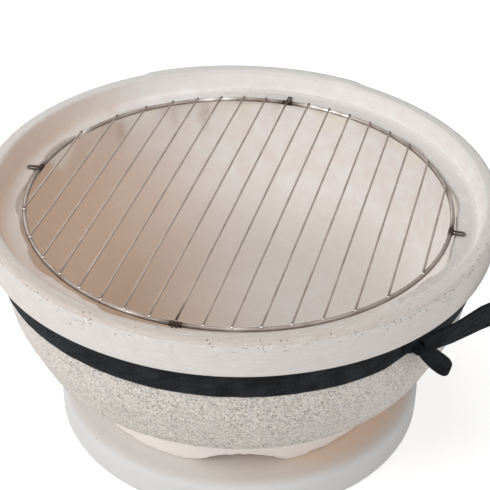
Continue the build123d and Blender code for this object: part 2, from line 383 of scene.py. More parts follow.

# Chips and pits lie in clusters, most of them along the outer edge. A chip is a
# tiny grain that shows its white inside; a pit is a small hole, painted dark as its shade
clusters = add_node(tree, "ShaderNodeTexNoise", {
    "Vector": place, "Scale": per_metre(11), "Detail": 3.0, "Roughness": 0.6})
cluster_share = add_node(tree, "ShaderNodeMapRange", {
    "Value": clusters, "From Min": 0.46, "From Max": 0.60})
chip_cells = add_node(tree, "ShaderNodeTexVoronoi", {
    "Vector": place, "Scale": per_metre(1.3), "Randomness": 1.0})
chip_pick = add_node(tree, "ShaderNodeSeparateColor", {"Color": chip_cells.outputs["Color"]})
chip_odds = add_node(tree, "ShaderNodeMath", {0: arris, 1: cluster_share}, operation="MULTIPLY")
chip_odds = add_node(tree, "ShaderNodeMath", {0: chip_odds, 1: 0.58}, operation="MULTIPLY")
chipped = add_node(tree, "ShaderNodeMath", {
    0: chip_pick.outputs["Green"], 1: chip_odds}, operation="LESS_THAN")
chip_size = add_node(tree, "ShaderNodeMapRange", {
    "Value": chip_cells, "From Min": 0.20, "From Max": 0.50,
    "To Min": 0.55, "To Max": 0.0})
chip = add_node(tree, "ShaderNodeMath", {0: chipped, 1: chip_size}, operation="MULTIPLY")
coats.append((chip, chipped_white))
pit_cells = add_node(tree, "ShaderNodeTexVoronoi", {
    "Vector": place, "Scale": per_metre(1.7), "Randomness": 1.0})
pit_pick = add_node(tree, "ShaderNodeSeparateColor", {"Color": pit_cells.outputs["Color"]})
not_inside = add_node(tree, "ShaderNodeMath", {0: 1.0, 1: inside}, operation="SUBTRACT")
pit_odds = add_node(tree, "ShaderNodeMath", {0: arris, 1: 0.64, 2: 0.02}, operation="MULTIPLY_ADD")
pit_odds = add_node(tree, "ShaderNodeMath", {0: grit, 1: 0.40, 2: pit_odds}, operation="MULTIPLY_ADD")
pit_odds = add_node(tree, "ShaderNodeMath", {0: pit_odds, 1: cluster_share}, operation="MULTIPLY")
pit_odds = add_node(tree, "ShaderNodeMath", {0: pit_odds, 1: not_inside}, operation="MULTIPLY")
picked = add_node(tree, "ShaderNodeMath", {
    0: pit_pick.outputs["Blue"], 1: pit_odds}, operation="LESS_THAN")
pit_depth = add_node(tree, "ShaderNodeMapRange", {
    "Value": pit_cells, "From Min": 0.14, "From Max": 0.36,
    "To Min": 1.0, "To Max": 0.0}, interpolation_type="SMOOTHSTEP")
pit = add_node(tree, "ShaderNodeMath", {0: picked, 1: pit_depth}, operation="MULTIPLY")
pit_shade_share = add_node(tree, "ShaderNodeMath", {0: pit, 1: 0.8}, operation="MULTIPLY")
coats.append((pit_shade_share, painted_pit_shade))

# Relief: grit everywhere below the strap, rib strokes where it was smoothed
fine = add_node(tree, "ShaderNodeTexNoise", {
    "Vector": place, "Scale": per_metre(1.3), "Detail": 3.0, "Roughness": 0.75})
grain_height = add_node(tree, "ShaderNodeMath", {0: grains, 1: -0.55, 2: fine}, operation="MULTIPLY_ADD")
grain_height = add_node(tree, "ShaderNodeMath", {0: grain_height, 1: grit}, operation="MULTIPLY")
smooth_height = add_node(tree, "ShaderNodeMath", {0: strokes, 1: 0.45}, operation="MULTIPLY")
smooth_height = add_node(tree, "ShaderNodeMath", {
    0: fine, 1: 0.22, 2: smooth_height}, operation="MULTIPLY_ADD")
smooth_height = add_node(tree, "ShaderNodeMath", {
    0: smooth_height, 1: smooth_share, 2: grain_height},
    operation="MULTIPLY_ADD")
height = add_node(tree, "ShaderNodeMath", {0: smooth_height, 1: pit}, operation="SUBTRACT")
relief = add_node(tree, "ShaderNodeBump", {"Height": height, "Strength": 1.0, "Distance": 0.0007})
for share, colour in coats:
    tint = add_node(tree, "ShaderNodeMix", {"Factor": share, "A": tint, "B": colour}, data_type="RGBA")
fill(surface, {"Base Color": tint, "Normal": relief, "Roughness": 0.92, "Specular IOR Level": 0.25})
print("bowl material nodes:", len(tree.nodes))

# %% [markdown]
# The foot ring and the plate were pressed from finer clay and rubbed smooth, so
# they are pale with only a faint cloudiness and the odd pore, painted dark as its
# shade. The foot and the plate's side wall are bare clay. The plate's top is darker,
# partly dust and partly painted shade under the bowl, and beside the foot on the
# right a warm tan is painted on it as shade. Three numbers on the mesh, one cool for
# the bare side wall, one for the top's dust and shade and one for the warm shade
# by the foot, carry that.

# %% Material: smooth clay of the foot and the plate
bare_clay = linear("#F7F0EC")
bare_clay_shade = linear("#F0E7E2")
side_clay = linear("#DBDAD9")
dust_and_shade_clay = linear("#DDD9D5")
painted_plate_warm_shade = linear("#E6CDB9")
painted_pore_shade = linear("#988C80")
smooth_clay, tree, place, surface = new_material("fired_clay_rubbed_smooth")
top_dust_and_shade, near_foot_warm_shade, cool = [
    add_node(tree, "ShaderNodeAttribute", attribute_name=name).outputs["Fac"]
    for name in ("top_dust_and_shade", "near_foot_warm_shade", "cool")]
clouds = add_node(tree, "ShaderNodeTexNoise", {
    "Vector": place, "Scale": per_metre(35), "Detail": 4.0, "Roughness": 0.6})
tint = add_node(tree, "ShaderNodeMix", {
    "Factor": clouds, "A": bare_clay_shade, "B": bare_clay}, data_type="RGBA")
# The top is painted darker, partly dust and partly painted shade under the bowl
coats = [(cool, side_clay), (top_dust_and_shade, dust_and_shade_clay)]
# A warm tan is painted by the foot on the right, as the bowl's painted shade
plate_warm_shade_share = add_node(tree, "ShaderNodeMath", {0: near_foot_warm_shade, 1: clouds}, operation="MULTIPLY")
plate_warm_shade_share = add_node(tree, "ShaderNodeMath", {0: plate_warm_shade_share, 1: 2.2},
    operation="MULTIPLY", use_clamp=True)
coats.append((plate_warm_shade_share, painted_plate_warm_shade))
# Pores are small hollows, painted dark as their shade
pores = add_node(tree, "ShaderNodeTexVoronoi", {"Vector": place, "Scale": per_metre(5)})
pore_pick = add_node(tree, "ShaderNodeSeparateColor", {"Color": pores.outputs["Color"]})
picked = add_node(tree, "ShaderNodeMath", {0: pore_pick.outputs["Red"], 1: 0.06}, operation="LESS_THAN")
pore_size = add_node(tree, "ShaderNodeMapRange", {
    "Value": pores, "From Min": 0.05, "From Max": 0.13,
    "To Min": 1.0, "To Max": 0.0})
pore = add_node(tree, "ShaderNodeMath", {0: picked, 1: pore_size}, operation="MULTIPLY")
coats.append((pore, painted_pore_shade))
fine = add_node(tree, "ShaderNodeTexNoise", {
    "Vector": place, "Scale": per_metre(2.2), "Detail": 4.0, "Roughness": 0.65})
height = add_node(tree, "ShaderNodeMath", {0: fine, 1: pore}, operation="SUBTRACT")
relief = add_node(tree, "ShaderNodeBump", {"Height": height, "Strength": 0.5, "Distance": 0.0004})
for share, colour in coats:
    tint = add_node(tree, "ShaderNodeMix", {"Factor": share, "A": tint, "B": colour}, data_type="RGBA")
fill(surface, {"Base Color": tint, "Normal": relief, "Roughness": 0.88, "Specular IOR Level": 0.3})
print("smooth clay nodes:", len(tree.nodes))

# %% [markdown]
# The bowl, the foot and the plate are thrown or turned, so each is one outline
# spun round an axis. A spun outline keeps its true radii and lets rings of points
# lie close together only where the surface needs them, such as the rim. The
# helper below rounds the corners of an outline with real arcs. A remeshed copy of
# the model would also do, but it blurs the thin edge of the ledge.

# %% Outlines with rounded corners
def rounded_outline(corners, rounds, steps):
    """Points along an outline, and for each point the number of its run.

    A run is the straight line from one corner to the next; a rounded corner's
    points count as half way between the two runs that it joins.
    """
    points = [(Vector(corners[0]), 0.0)]
    start = Vector(corners[0])
    for k in range(1, len(corners)):
        corner = Vector(corners[k])
        last = k == len(corners) - 1
        if last:
            run_end = corner
        else:
            before = (start - corner).normalized()
            after = (Vector(corners[k + 1]) - corner).normalized()
            half_angle = before.angle(after) / 2
            run_end = corner + before * rounds[k - 1] / math.tan(half_angle)
        count = max(1, round((run_end - start).length / steps[k - 1]))
        for i in range(1, count + 1):
            points.append((start.lerp(run_end, i / count), k - 1.0))
        if last:
            break
        centre = corner + (before + after).normalized() * rounds[k - 1] / math.sin(half_angle)
        turn = math.pi - 2 * half_angle
        if before.x * after.y - before.y * after.x > 0:
            turn = -turn
        arc_step = min(steps[k - 1], steps[k])
        count = max(2, math.ceil(rounds[k - 1] * abs(turn) / arc_step))
        spoke = run_end - centre
        for i in range(1, count + 1):
            turned = Matrix.Rotation(turn * i / count, 2) @ spoke
            points.append((centre + turned, k - 0.5))
        start = points[-1][0]
    radii = np.array([p.x for p, run in points])
    heights = np.array([p.y for p, run in points])
    runs = np.array([run for p, run in points])
    return radii, heights, runs


def spun_mesh(name, radii, heights, centre, closed, material):
    """Mesh of an outline spun round an upright axis.

    radii and heights have one row for each point of the outline and one column
    for each step round the axis. An outline that is not closed ends on the axis.
    """
    rings, segments = radii.shape
    angles = np.arange(segments) * 2 * math.pi / segments
    rows = range(rings) if closed else range(1, rings - 1)
    places = np.stack([
        centre[0] + radii * np.cos(angles), centre[1] + radii * np.sin(angles), heights], axis=2)
    points = [p for row in rows for p in places[row]]
    wrap = len(rows) if closed else len(rows) - 1
    faces = []
    for i in range(wrap):
        low = i * segments
        high = (i + 1) % len(rows) * segments
        for j in range(segments):
            k = (j + 1) % segments
            faces.append((low + j, low + k, high + k, high + j))
    if not closed:
        first, last = len(points), len(points) + 1
        points += [(centre[0], centre[1], heights[0, 0]), (centre[0], centre[1], heights[-1, 0])]
        high = (len(rows) - 1) * segments
        for j in range(segments):
            k = (j + 1) % segments
            faces.append((first, k, j))
            faces.append((last, high + j, high + k))
    mesh = new_mesh(name, points, faces=faces)
    mesh.shade_smooth()
    mesh.materials.append(material)
    return mesh, rows


def store(mesh, name, values):
    """Keep a number or a direction for each point of a mesh, under a name."""
    values = np.asarray(values, np.float32)
    kind, field = ("FLOAT", "value") if values.ndim == 1 else ("FLOAT_VECTOR", "vector")
    mesh.attributes.new(name, kind, "POINT").data.foreach_set(field, values.ravel())


def push(mesh, amount):
    """Move every point of a mesh along its normal by amount(point, index)."""
    normals = [Vector(n.vector) for n in mesh.vertex_normals]
    places = [v.co.copy() for v in mesh.vertices]
    for i, (point, normal) in enumerate(zip(places, normals)):
        mesh.vertices[i].co = point + normal * amount(point, i)


def rings(radii, heights, segments):
    """An outline's radii and heights, repeated for each step round the axis."""
    angles = np.arange(segments) * 2 * math.pi / segments
    ring_radii, ring_heights = [
        np.repeat(values[:, None], segments, axis=1) for values in (radii, heights)]
    return angles, ring_radii, ring_heights


# %% [markdown]
# The bowl's outline runs from the middle of its underside out to the skirt, up the
# belly to the seat of the strap, round the overhanging rim band, down to the ledge
# that carries the grate and down the inside to the floor. Twelve scoops notch the
# ledge and fade out down the wall. Each is part of a cone, so the radius of its
# far side at any height and angle has a formula.

# %% Bowl: outline and scoops
rim_top = bowl_high.z
rim_radius = (bowl_high.x - bowl_low.x) / 2
rim_width = 10.2 * MM
skirt_radius = 119.0 * MM
belly_radius = 150.6 * MM
belly_height = 24.0 * MM
shoulder_radius = 166.5 * MM
shoulder_height = 59.0 * MM
seat_radius = 170.4 * MM
seat_height = 85.0 * MM
band_low = rim_top - 27.8 * MM
band_undercut = 0.6 * MM
band_taper = 1.2 * MM
ledge_top = rim_top - 15.4 * MM
ledge_outer = rim_radius - rim_width - 4.6 * MM
throat_radius = 155.0 * MM
floor_top = bowl_base + 23.0 * MM
floor_radius = 141.0 * MM
bowl_corners = [
    (0, bowl_base),
    (skirt_radius, bowl_base),
    (belly_radius, bowl_base + belly_height),
    (shoulder_radius, bowl_base + shoulder_height),
    (seat_radius, bowl_base + seat_height),
    (seat_radius, band_low - band_undercut),
    (rim_radius - band_taper, band_low),
    (rim_radius, rim_top),
    (rim_radius - rim_width, rim_top),
    (ledge_outer, ledge_top),
    (throat_radius, ledge_top),
    (floor_radius, floor_top),
    (0, floor_top),
]

# One rounding for each corner but the first and last, one spacing for each run,
# and the numbers of the runs that later cells ask for
bowl_rounds = [r * MM for r in (4, 7, 60, 20, 2.2, 2.2, 3, 2, 4, 1.6, 52)]
bowl_steps = [s * MM for s in (20, 1.9, 1.9, 1.9, 4, 1.6, 2.0, 1.6, 2.0, 1.6, 3.2, 9)]
run_rim_band, run_rim_top, run_recess, run_ledge, run_wall = 6, 7, 8, 9, 10
bowl_segments = 480

flute_count = 12
flute_turn = math.radians(16.5)
flute_reach = 4.0 * MM
scoop_radius = 45.0 * MM
scoop_drop = 27.0 * MM
scoop_runout = 9.0 * MM
scoop_middle = throat_radius + flute_reach - scoop_radius

radii, heights, runs = rounded_outline(bowl_corners, bowl_rounds, bowl_steps)
angles, ring_radii, ring_heights = rings(radii, heights, bowl_segments)
flute_pitch = 2 * math.pi / flute_count
off_flute = (angles - flute_turn + flute_pitch / 2) % flute_pitch - flute_pitch / 2
is_wall = runs >= run_wall - 0.5
wall_heights = heights[is_wall]
wall_radii = radii[is_wall]
flat_ledge_outer = radii[runs >= run_ledge][0]
ring_cuts = np.zeros_like(ring_radii)
for ring in range(len(runs)):
    level = min(heights[ring], ledge_top)
    drop = ledge_top - level
    if runs[ring] < run_ledge or drop > scoop_drop:
        continue
    scoop = scoop_radius - scoop_runout * drop / scoop_drop
    inner = np.clip(scoop**2 - (scoop_middle * np.sin(off_flute)) ** 2, 0, None)
    far_side = scoop_middle * np.cos(off_flute) + np.sqrt(inner)
    wall_here = np.interp(-level, -wall_heights, wall_radii)
    cut = np.clip(far_side - wall_here, 0, None)
    if runs[ring] < run_wall - 0.5:
        along_ledge = (radii[ring] - throat_radius) / (flat_ledge_outer - throat_radius)
        cut = cut * min(1.0, max(0.0, 1 - along_ledge))
    ring_cuts[ring] = cut
ring_radii += ring_cuts
print("bowl rings:", len(runs), "rim radius:", round(rim_radius, 4))

# %% [markdown]
# Handmade clay is never quite true. The rim at the back has a patch that was built
# up a little higher, and the edge of the ledge is nibbled. Both are added to the
# rings before they become a mesh, where they stay a matter of angles and heights.
# The nibbles come from a noise that is the same on every run.

# %% Bowl: raised patch and nibbled ledge
def edge_noise(angles, pace, lane):
    """Noise along a round edge, joined up where it meets itself."""
    return np.array([noise.noise(Vector((math.cos(a) * pace, math.sin(a) * pace, lane))) for a in angles])


patch_start = math.radians(72)
patch_end = math.radians(130)
patch_rise = 1.0 * MM
patch_swell = 0.6 * MM
patch_depth = 9 * MM
patch_edge = math.radians(1.2)
patch = np.clip((angles - patch_start) / patch_edge, 0, 1)
patch = patch * np.clip((patch_end - angles) / patch_edge, 0, 1)
near_top = np.clip((ring_heights - (rim_top - patch_depth)) / patch_depth, 0, 1)
outer_side = (runs >= run_rim_band - 0.5) & (runs <= run_rim_top)
raised = near_top * patch * outer_side[:, None]
ring_heights += raised * patch_rise
ring_radii += raised * patch_swell

nibble_size = 0.9 * MM
nibble_reach = 3.5 * MM
lip_depth = 3 * MM
nibble = edge_noise(angles, 13, 4.0) + 0.6 * edge_noise(angles, 38, 9.0)
on_lip = (ring_heights > ledge_top - lip_depth) & (runs >= run_ledge)[:, None]
ledge_lip = np.exp(-(((ring_radii - throat_radius) / nibble_reach) ** 2)) * on_lip
ring_radii += ledge_lip * nibble * nibble_size
bowl_mesh, rows = spun_mesh("bowl_clay", ring_radii, ring_heights, (0, 0), False, chamotte)
print("bowl points:", len(bowl_mesh.vertices))

# %% [markdown]
# The material has to know where on the bowl it is. Painted by hand, that would be
# lost with every change of shape, so it is worked out for each point from its place
# and from the run of the outline that it belongs to. The grit is full at the front
# and the back and rubbed down at the sides. Painted shade darkens the rim's top and
# the right of the ledge, the wheel's strokes slant by a few millimetres, painted
# shade lines the back's outer edge, and five spots of painted shade lie under the
# ledge at the back, on the points between the scoops.

# %% Bowl: numbers that the material reads
rub_loss = 0.42
least_rubbed = math.radians(-79)
arris_below_top = 4.0 * MM
arris_reach = 3.6 * MM
ledge_wear = 6 * MM
ledge_shade_side = math.radians(35)
stroke_slant = 7.0 * MM
full_scoop = 1.2 * MM
scoop_start = 1.5 * MM
back_edge_shade_reach = 1.3 * MM
cusp_shade_half_width = 4.5 * MM
cusp_shade_half_height = 11 * MM
cusp_shade_spots = [  # degrees round the bowl, height in mm, strength
    (94, 170, 0.4), (103.4, 163, 0.3), (115.6, 160, 1.2), (125, 160, 0.5), (142.7, 160, 0.9)]

ring_of = np.repeat(np.array(rows), bowl_segments)
run_lengths = np.r_[0, np.cumsum(np.hypot(np.diff(radii), np.diff(heights)))]
run_of = np.concatenate([runs[ring_of], [0.0, len(bowl_corners) - 2.0]])
length_of = np.concatenate([run_lengths[ring_of], [0.0, run_lengths[-1]]])
cut_of = np.concatenate([ring_cuts[np.array(rows)].ravel(), [0.0, 0.0]])
place_of = np.array([v.co for v in bowl_mesh.vertices])
radius_of = np.hypot(place_of[:, 0], place_of[:, 1])
height_of = place_of[:, 2]
turn_of = np.arctan2(place_of[:, 1], place_of[:, 0])

rubbed = 1 - np.clip((np.abs(np.cos(turn_of - least_rubbed)) - 0.6) / 0.35, 0, 1)
grit_of = np.clip(1 - (run_of - 4) / 0.9, 0, 1) * (run_of < 5) * (1 - rub_loss * rubbed)
inside_of = np.clip((run_of - run_recess + 1.2) / 1.4, 0, 1) * (run_of > run_rim_top)
to_arris = np.hypot(radius_of - rim_radius, height_of - rim_top + arris_below_top)
arris_of = np.exp(-((to_arris / arris_reach) ** 2))
ledge_of = 1.0 * (np.abs(run_of - run_ledge) <= 0.5)
# The right of the ledge gets the rim top's painted shade
toward_ledge_shade = np.clip(np.cos(turn_of - ledge_shade_side) * 2, 0, 1)
rim_top_shade_of = np.clip((run_of - run_rim_band) / 0.5, 0, 1) * (run_of <= run_rim_top + 0.25)
# Painted shade along the outer edge at the back
to_edge = np.hypot(radius_of - rim_radius, height_of - rim_top)
at_back = np.clip(np.sin(turn_of) * 4, 0, 1)
scooped_of = np.clip(cut_of / full_scoop, 0, 1) * np.clip((ledge_top - height_of) / scoop_start, 0, 1)
cusp_shade_of = np.zeros(len(place_of))
for degrees, height, amount in cusp_shade_spots:
    sideways = np.angle(np.exp(1j * (turn_of - math.radians(degrees)))) * throat_radius
    upright = height_of - height * MM
    spot = amount * np.exp(-((sideways / cusp_shade_half_width) ** 2) - (upright / cusp_shade_half_height) ** 2)
    cusp_shade_of = np.maximum(cusp_shade_of, spot * (inside_of > 0.9))

for label, values in {
        "grit": grit_of,
        "inside": inside_of,
        "arris": arris_of,
        "on_ledge": ledge_of * np.clip((ledge_outer - radius_of) / ledge_wear, 0, 1),
        "rim_top_shade": np.maximum(rim_top_shade_of, 0.8 * ledge_of * toward_ledge_shade),
        "outline_run": length_of + stroke_slant * np.sin(4 * turn_of + 0.9),
        "scooped": scooped_of,
        "back_edge_shade": 0.7 * at_back * np.exp(-((to_edge / back_edge_shade_reach) ** 2)),
        "cusp_shade": cusp_shade_of}.items():
    store(bowl_mesh, label, values)
    print(label, "from", round(float(values.min()), 3), "to", round(float(values.max()), 3))

# %% [markdown]
# The last of the handmade look is pushed along the normals: long soft waves of half
# a millimetre over the whole wall, real bumps where the clay is gritty, faint
# turning lines where it is smooth, and small bites out of the outer edge.

# %% Bowl: waves, grit and bites
def bowl_push(point, index):
    """Height of the handmade surface over the true outline; the numbers are in millimetres."""
    move = 0.55 * noise.noise(point * per_metre(95))
    gritty = grit_of[index]
    if gritty > 0:
        bumps = noise.noise(point * per_metre(5.2)) + 0.7 * noise.noise(point * per_metre(2.9))
        move += gritty * 0.34 * bumps
    elif run_of[index] <= run_rim_top:
        lines = noise.noise(Vector((point.x * 12, point.y * 12, point.z * per_metre(5))))
        move += 0.12 * lines
    if arris_of[index] > 0.3:
        move -= 0.5 * max(0.0, noise.noise(point * per_metre(6)) - 0.35)
    return move * MM


push(bowl_mesh, bowl_push)
put_on_body(bowl_mesh, "bowl_clay", "bowl", ["bowl"])

# %% [markdown]
# The foot is a ring with four low arches nibbled out of its lower edge, so that
# air reaches the middle. Spun rings would cut straight across an arch; here each
# ring's height is squeezed towards the top by the arch's height at that place,
# which keeps the mesh regular. The arches and the lower edge are ragged, as clay
# cut by hand is. The foot rests on the plate, so nothing of it is pushed below the
# plate's top.

# %% Foot ring with its vent arches
foot_low, foot_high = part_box("foot_ring")
foot_radius = (foot_high.x - foot_low.x) / 2
foot_wall = 16.0 * MM
foot_inner = foot_radius - foot_wall
plate_top = foot_low.z
foot_top = foot_high.z
arch_count = 4
arch_turn = math.radians(-73)
arch_half = 32.5 * MM
arch_rise = 10.0 * MM
arch_radius = (arch_half**2 + arch_rise**2) / (2 * arch_rise)
foot_segments = 400
foot_corners = [
    (foot_inner, foot_top),
    (foot_inner, plate_top),
    (foot_radius, plate_top),
    (foot_radius, foot_top),
]
radii, heights, runs = rounded_outline(foot_corners, [1.5 * MM] * 2, [2.5 * MM] * 3)
angles, ring_radii, ring_heights = rings(radii, heights, foot_segments)
arch_pitch = 2 * math.pi / arch_count
off_arch = (angles - arch_turn + arch_pitch / 2) % arch_pitch - arch_pitch / 2
sideways = ring_radii * np.sin(off_arch)
arch_height = np.sqrt(np.clip(arch_radius**2 - sideways**2, 0, None)) - (arch_radius - arch_rise)
arch_height = np.clip(arch_height, 0, None)
arch_height += 0.9 * MM * edge_noise(angles, 24, 3.0) * np.clip(arch_height / (4 * MM), 0, 1)
squeeze = (foot_top - plate_top - arch_height) / (foot_top - plate_top)
ring_heights = foot_top - (foot_top - ring_heights) * squeeze
foot_mesh, rows = spun_mesh("foot_ring_clay", ring_radii, ring_heights, (0, 0), True, smooth_clay)


def foot_push(point, index):
    """Soft waves, with a ragged lower edge."""
    edge = math.exp(-((point.z - plate_top) / (9 * MM)) ** 2)
    waves = 0.5 * noise.noise(point * per_metre(60))
    ragged = edge * (0.8 * noise.noise(point * per_metre(9)) + 0.8 * noise.noise(point * per_metre(4)))
    return (waves + ragged) * MM


push(foot_mesh, foot_push)
for v in foot_mesh.vertices:
    v.co.z = min(max(v.co.z, plate_top), foot_top)
for label in ("top_dust_and_shade", "near_foot_warm_shade", "cool"):
    store(foot_mesh, label, np.zeros(len(foot_mesh.vertices)))
put_on_body(foot_mesh, "foot_ring_clay", "bowl", ["foot_ring"])

# %% [markdown]
# The plate is a plain thick disc with a soft upper edge. It lies on the table, so
# its underside stays flat. Its top is painted darker up to a bare edge, partly dust
# and partly painted shade, and the painted warm shade is strongest close to the
# foot, on the right.

# %% Base plate
plate_low, plate_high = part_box("base_plate")
plate_radius = (plate_high.x - plate_low.x) / 2
plate_centre = ((plate_low.x + plate_high.x) / 2, (plate_low.y + plate_high.y) / 2)
plate_segments = 400
plate_corners = [
    (0, plate_low.z),
    (plate_radius, plate_low.z),
    (plate_radius, plate_high.z),
    (0, plate_high.z),
]
radii, heights, runs = rounded_outline(plate_corners, [2.5 * MM, 4.0 * MM], [12 * MM, 2.5 * MM, 5 * MM])
angles, ring_radii, ring_heights = rings(radii, heights, plate_segments)
plate_mesh, rows = spun_mesh(
    "base_plate_clay", ring_radii, ring_heights, plate_centre, False, smooth_clay)


def plate_push(point, index):
    """Waves on the side wall and, more faintly, on the top; none underneath."""
    if point.z < 1 * MM:
        return 0.0
    across = math.hypot(point.x - plate_centre[0], point.y - plate_centre[1])
    on_top = point.z > plate_high.z - 0.5 * MM and across < plate_radius - 5 * MM
    if on_top:
        return -0.12 * MM * abs(noise.noise(point * per_metre(40)))
    return (0.5 * noise.noise(point * per_metre(70)) + 0.2 * noise.noise(point * per_metre(8))) * MM


push(plate_mesh, plate_push)
bare_edge = 1.5 * MM
dust_fade = 5 * MM
plate_warm_shade_reach = 17 * MM
plate_warm_shade_side = math.radians(-12)
place_of = np.array([v.co for v in plate_mesh.vertices])
across_of = np.hypot(place_of[:, 0] - plate_centre[0], place_of[:, 1] - plate_centre[1])
on_top_of = np.clip((plate_radius - bare_edge - across_of) / dust_fade, 0, 1) * (place_of[:, 2] > 20 * MM)
turn_of = np.arctan2(place_of[:, 1], place_of[:, 0])
toward_plate_warm_shade = np.clip(np.cos(turn_of - plate_warm_shade_side), 0, 1) ** 2
near_foot = np.exp(-((np.clip(across_of - foot_radius, 0, None) / plate_warm_shade_reach) ** 2))
store(plate_mesh, "top_dust_and_shade", on_top_of)
store(plate_mesh, "near_foot_warm_shade", on_top_of * near_foot * toward_plate_warm_shade)
store(plate_mesh, "cool", 1 - on_top_of)
put_on_body(plate_mesh, "base_plate_clay", "base", ["base_plate"])

# %% [markdown]
# Webbing, wire, grit and loose threads all repeat or follow a path, so Geometry
# Nodes make them. Each tree is built here in the script, with named inputs for
# its sizes. It ends by making its instances real and setting the material. The
# result is kept as a plain mesh, because a live modifier would be lost when the
# model leaves Blender.

# %% Geometry Nodes: start, end and run a tree
def start_tree(name, sockets):
    """A Geometry Nodes tree with geometry in and out, a material and named inputs."""
    tree = bpy.data.node_groups.new(name, "GeometryNodeTree")
    tree.interface.new_socket("Geometry", in_out="OUTPUT", socket_type="NodeSocketGeometry")
    tree.interface.new_socket("Geometry", in_out="INPUT", socket_type="NodeSocketGeometry")
    tree.interface.new_socket("Material", in_out="INPUT", socket_type="NodeSocketMaterial")
    for label, kind in sockets.items():
        tree.interface.new_socket(label, in_out="INPUT", socket_type="NodeSocket" + kind)
    return tree, add_node(tree, "NodeGroupInput").outputs


def end_tree(tree, given, shape):
    """Close a tree: smooth shading, real instances, then the material."""
    smooth = add_node(tree, "GeometryNodeSetShadeSmooth", {"Geometry": shape})
    real = add_node(tree, "GeometryNodeRealizeInstances", {"Geometry": smooth})
    dressed = add_node(tree, "GeometryNodeSetMaterial", {"Geometry": real, "Material": given["Material"]})
    add_node(tree, "NodeGroupOutput", {0: dressed})


def run_tree(tree, start_mesh, name, material, values):
    """The plain mesh that a tree makes of a starting mesh."""
    carrier = bpy.data.objects.new(name, start_mesh)
    scene.collection.objects.link(carrier)
    modifier = carrier.modifiers.new("shape", "NODES")
    modifier.node_group = tree
    values = {"Material": material, **values}
    for item in tree.interface.items_tree:
        if item.in_out == "INPUT" and item.name in values:
            modifier[item.identifier] = values[item.name]
    graph = bpy.context.evaluated_depsgraph_get()
    made = bpy.data.meshes.new_from_object(
        carrier.evaluated_get(graph), preserve_all_data_layers=True, depsgraph=graph)
    carrier.modifiers.remove(modifier)
    bpy.data.objects.remove(carrier)
    made.name = name
    return made


def joined(name, meshes):
    """One mesh of several, with every face turned outwards."""
    shell = bmesh.new()
    for mesh in meshes:
        shell.from_mesh(mesh)
    bmesh.ops.recalc_face_normals(shell, faces=shell.faces)
    whole = meshes[0].copy()
    shell.to_mesh(whole)
    shell.free()
    whole.name = name
    return whole


# %% [markdown]
# The strap and the lifting loops are flat woven polypropylene webbing, the kind
# sold for bags. It is near black, a little bluish where the light grazes it, and
# smooth to the eye: its lengthwise yarns are just over a millimetre wide. They
# catch the light as faint streaks that run with the strap, so the pattern is
# drawn on the webbing's own map, with one axis across it and one along it.

# %% Material: black webbing
black_yarn = linear("#0A0A0A")
sheen_streak_yarn = linear("#2A2C31")
grazing_blue = linear("#9AA6B8")
yarn_width = 1.25
pick_spacing = 1.6
webbing, tree, place, surface = new_material("black_woven_polypropylene_webbing")
weave = add_node(tree, "ShaderNodeUVMap", uv_map="weave").outputs["UV"]
split = add_node(tree, "ShaderNodeSeparateXYZ", {"Vector": weave})
ridge = add_node(tree, "ShaderNodeMath", {
    0: split.outputs["X"], 1: 2 * math.pi * per_metre(yarn_width)}, operation="MULTIPLY")
ridge = add_node(tree, "ShaderNodeMath", {0: ridge}, operation="SINE")
pick = add_node(tree, "ShaderNodeMath", {
    0: split.outputs["Y"], 1: 2 * math.pi * per_metre(pick_spacing)}, operation="MULTIPLY")
pick = add_node(tree, "ShaderNodeMath", {0: pick}, operation="SINE")
crossing = add_node(tree, "ShaderNodeMath", {0: ridge, 1: pick}, operation="MULTIPLY")
yarn_height = add_node(tree, "ShaderNodeMath", {0: crossing, 1: 0.5, 2: ridge}, operation="MULTIPLY_ADD")
lengthwise = add_node(tree, "ShaderNodeMapping", {"Vector": weave, "Scale": (1.0, 0.07, 1.0)})
streaks = add_node(tree, "ShaderNodeTexNoise", {
    "Vector": lengthwise, "Scale": per_metre(2.2), "Detail": 3.0, "Roughness": 0.6})
mottle = add_node(tree, "ShaderNodeTexNoise", {
    "Vector": place, "Scale": per_metre(14), "Detail": 3.0, "Roughness": 0.6})
# Lighter bluish streaks along the yarns are painted sheen, mixed with a random mottle
sheen_streaks = add_node(tree, "ShaderNodeMath", {0: streaks, 1: mottle}, operation="ADD")
sheen_streak_share = add_node(tree, "ShaderNodeMapRange", {"Value": sheen_streaks, "From Min": 0.88, "From Max": 1.34})
tone = add_node(tree, "ShaderNodeMix", {
    "Factor": sheen_streak_share, "A": black_yarn, "B": sheen_streak_yarn}, data_type="RGBA")
yarn_height = add_node(tree, "ShaderNodeMath", {
    0: streaks, 1: 2.5, 2: yarn_height}, operation="MULTIPLY_ADD")
relief = add_node(tree, "ShaderNodeBump", {"Height": yarn_height, "Strength": 0.45, "Distance": 0.00015})
fill(surface, {
    "Base Color": tone, "Normal": relief, "Roughness": 0.72, "Specular IOR Level": 0.12,
    "Sheen Weight": 0.06, "Sheen Roughness": 0.5, "Sheen Tint": grazing_blue})
print("webbing nodes:", len(tree.nodes))

# %% [markdown]
# One tree makes every stretch of webbing. Its starting mesh is the webbing's
# middle line, and each point of the line says how wide, thick, folded and hollow
# the webbing is there and which way its width lies. The tree lays a grid along
# the line, one row for each point, and wraps each row into a flat oval with blunt
# edges. Cutting a cube into shape would not let the folds gather at a knot. The
# map that the weave is drawn on is stored in the same tree.

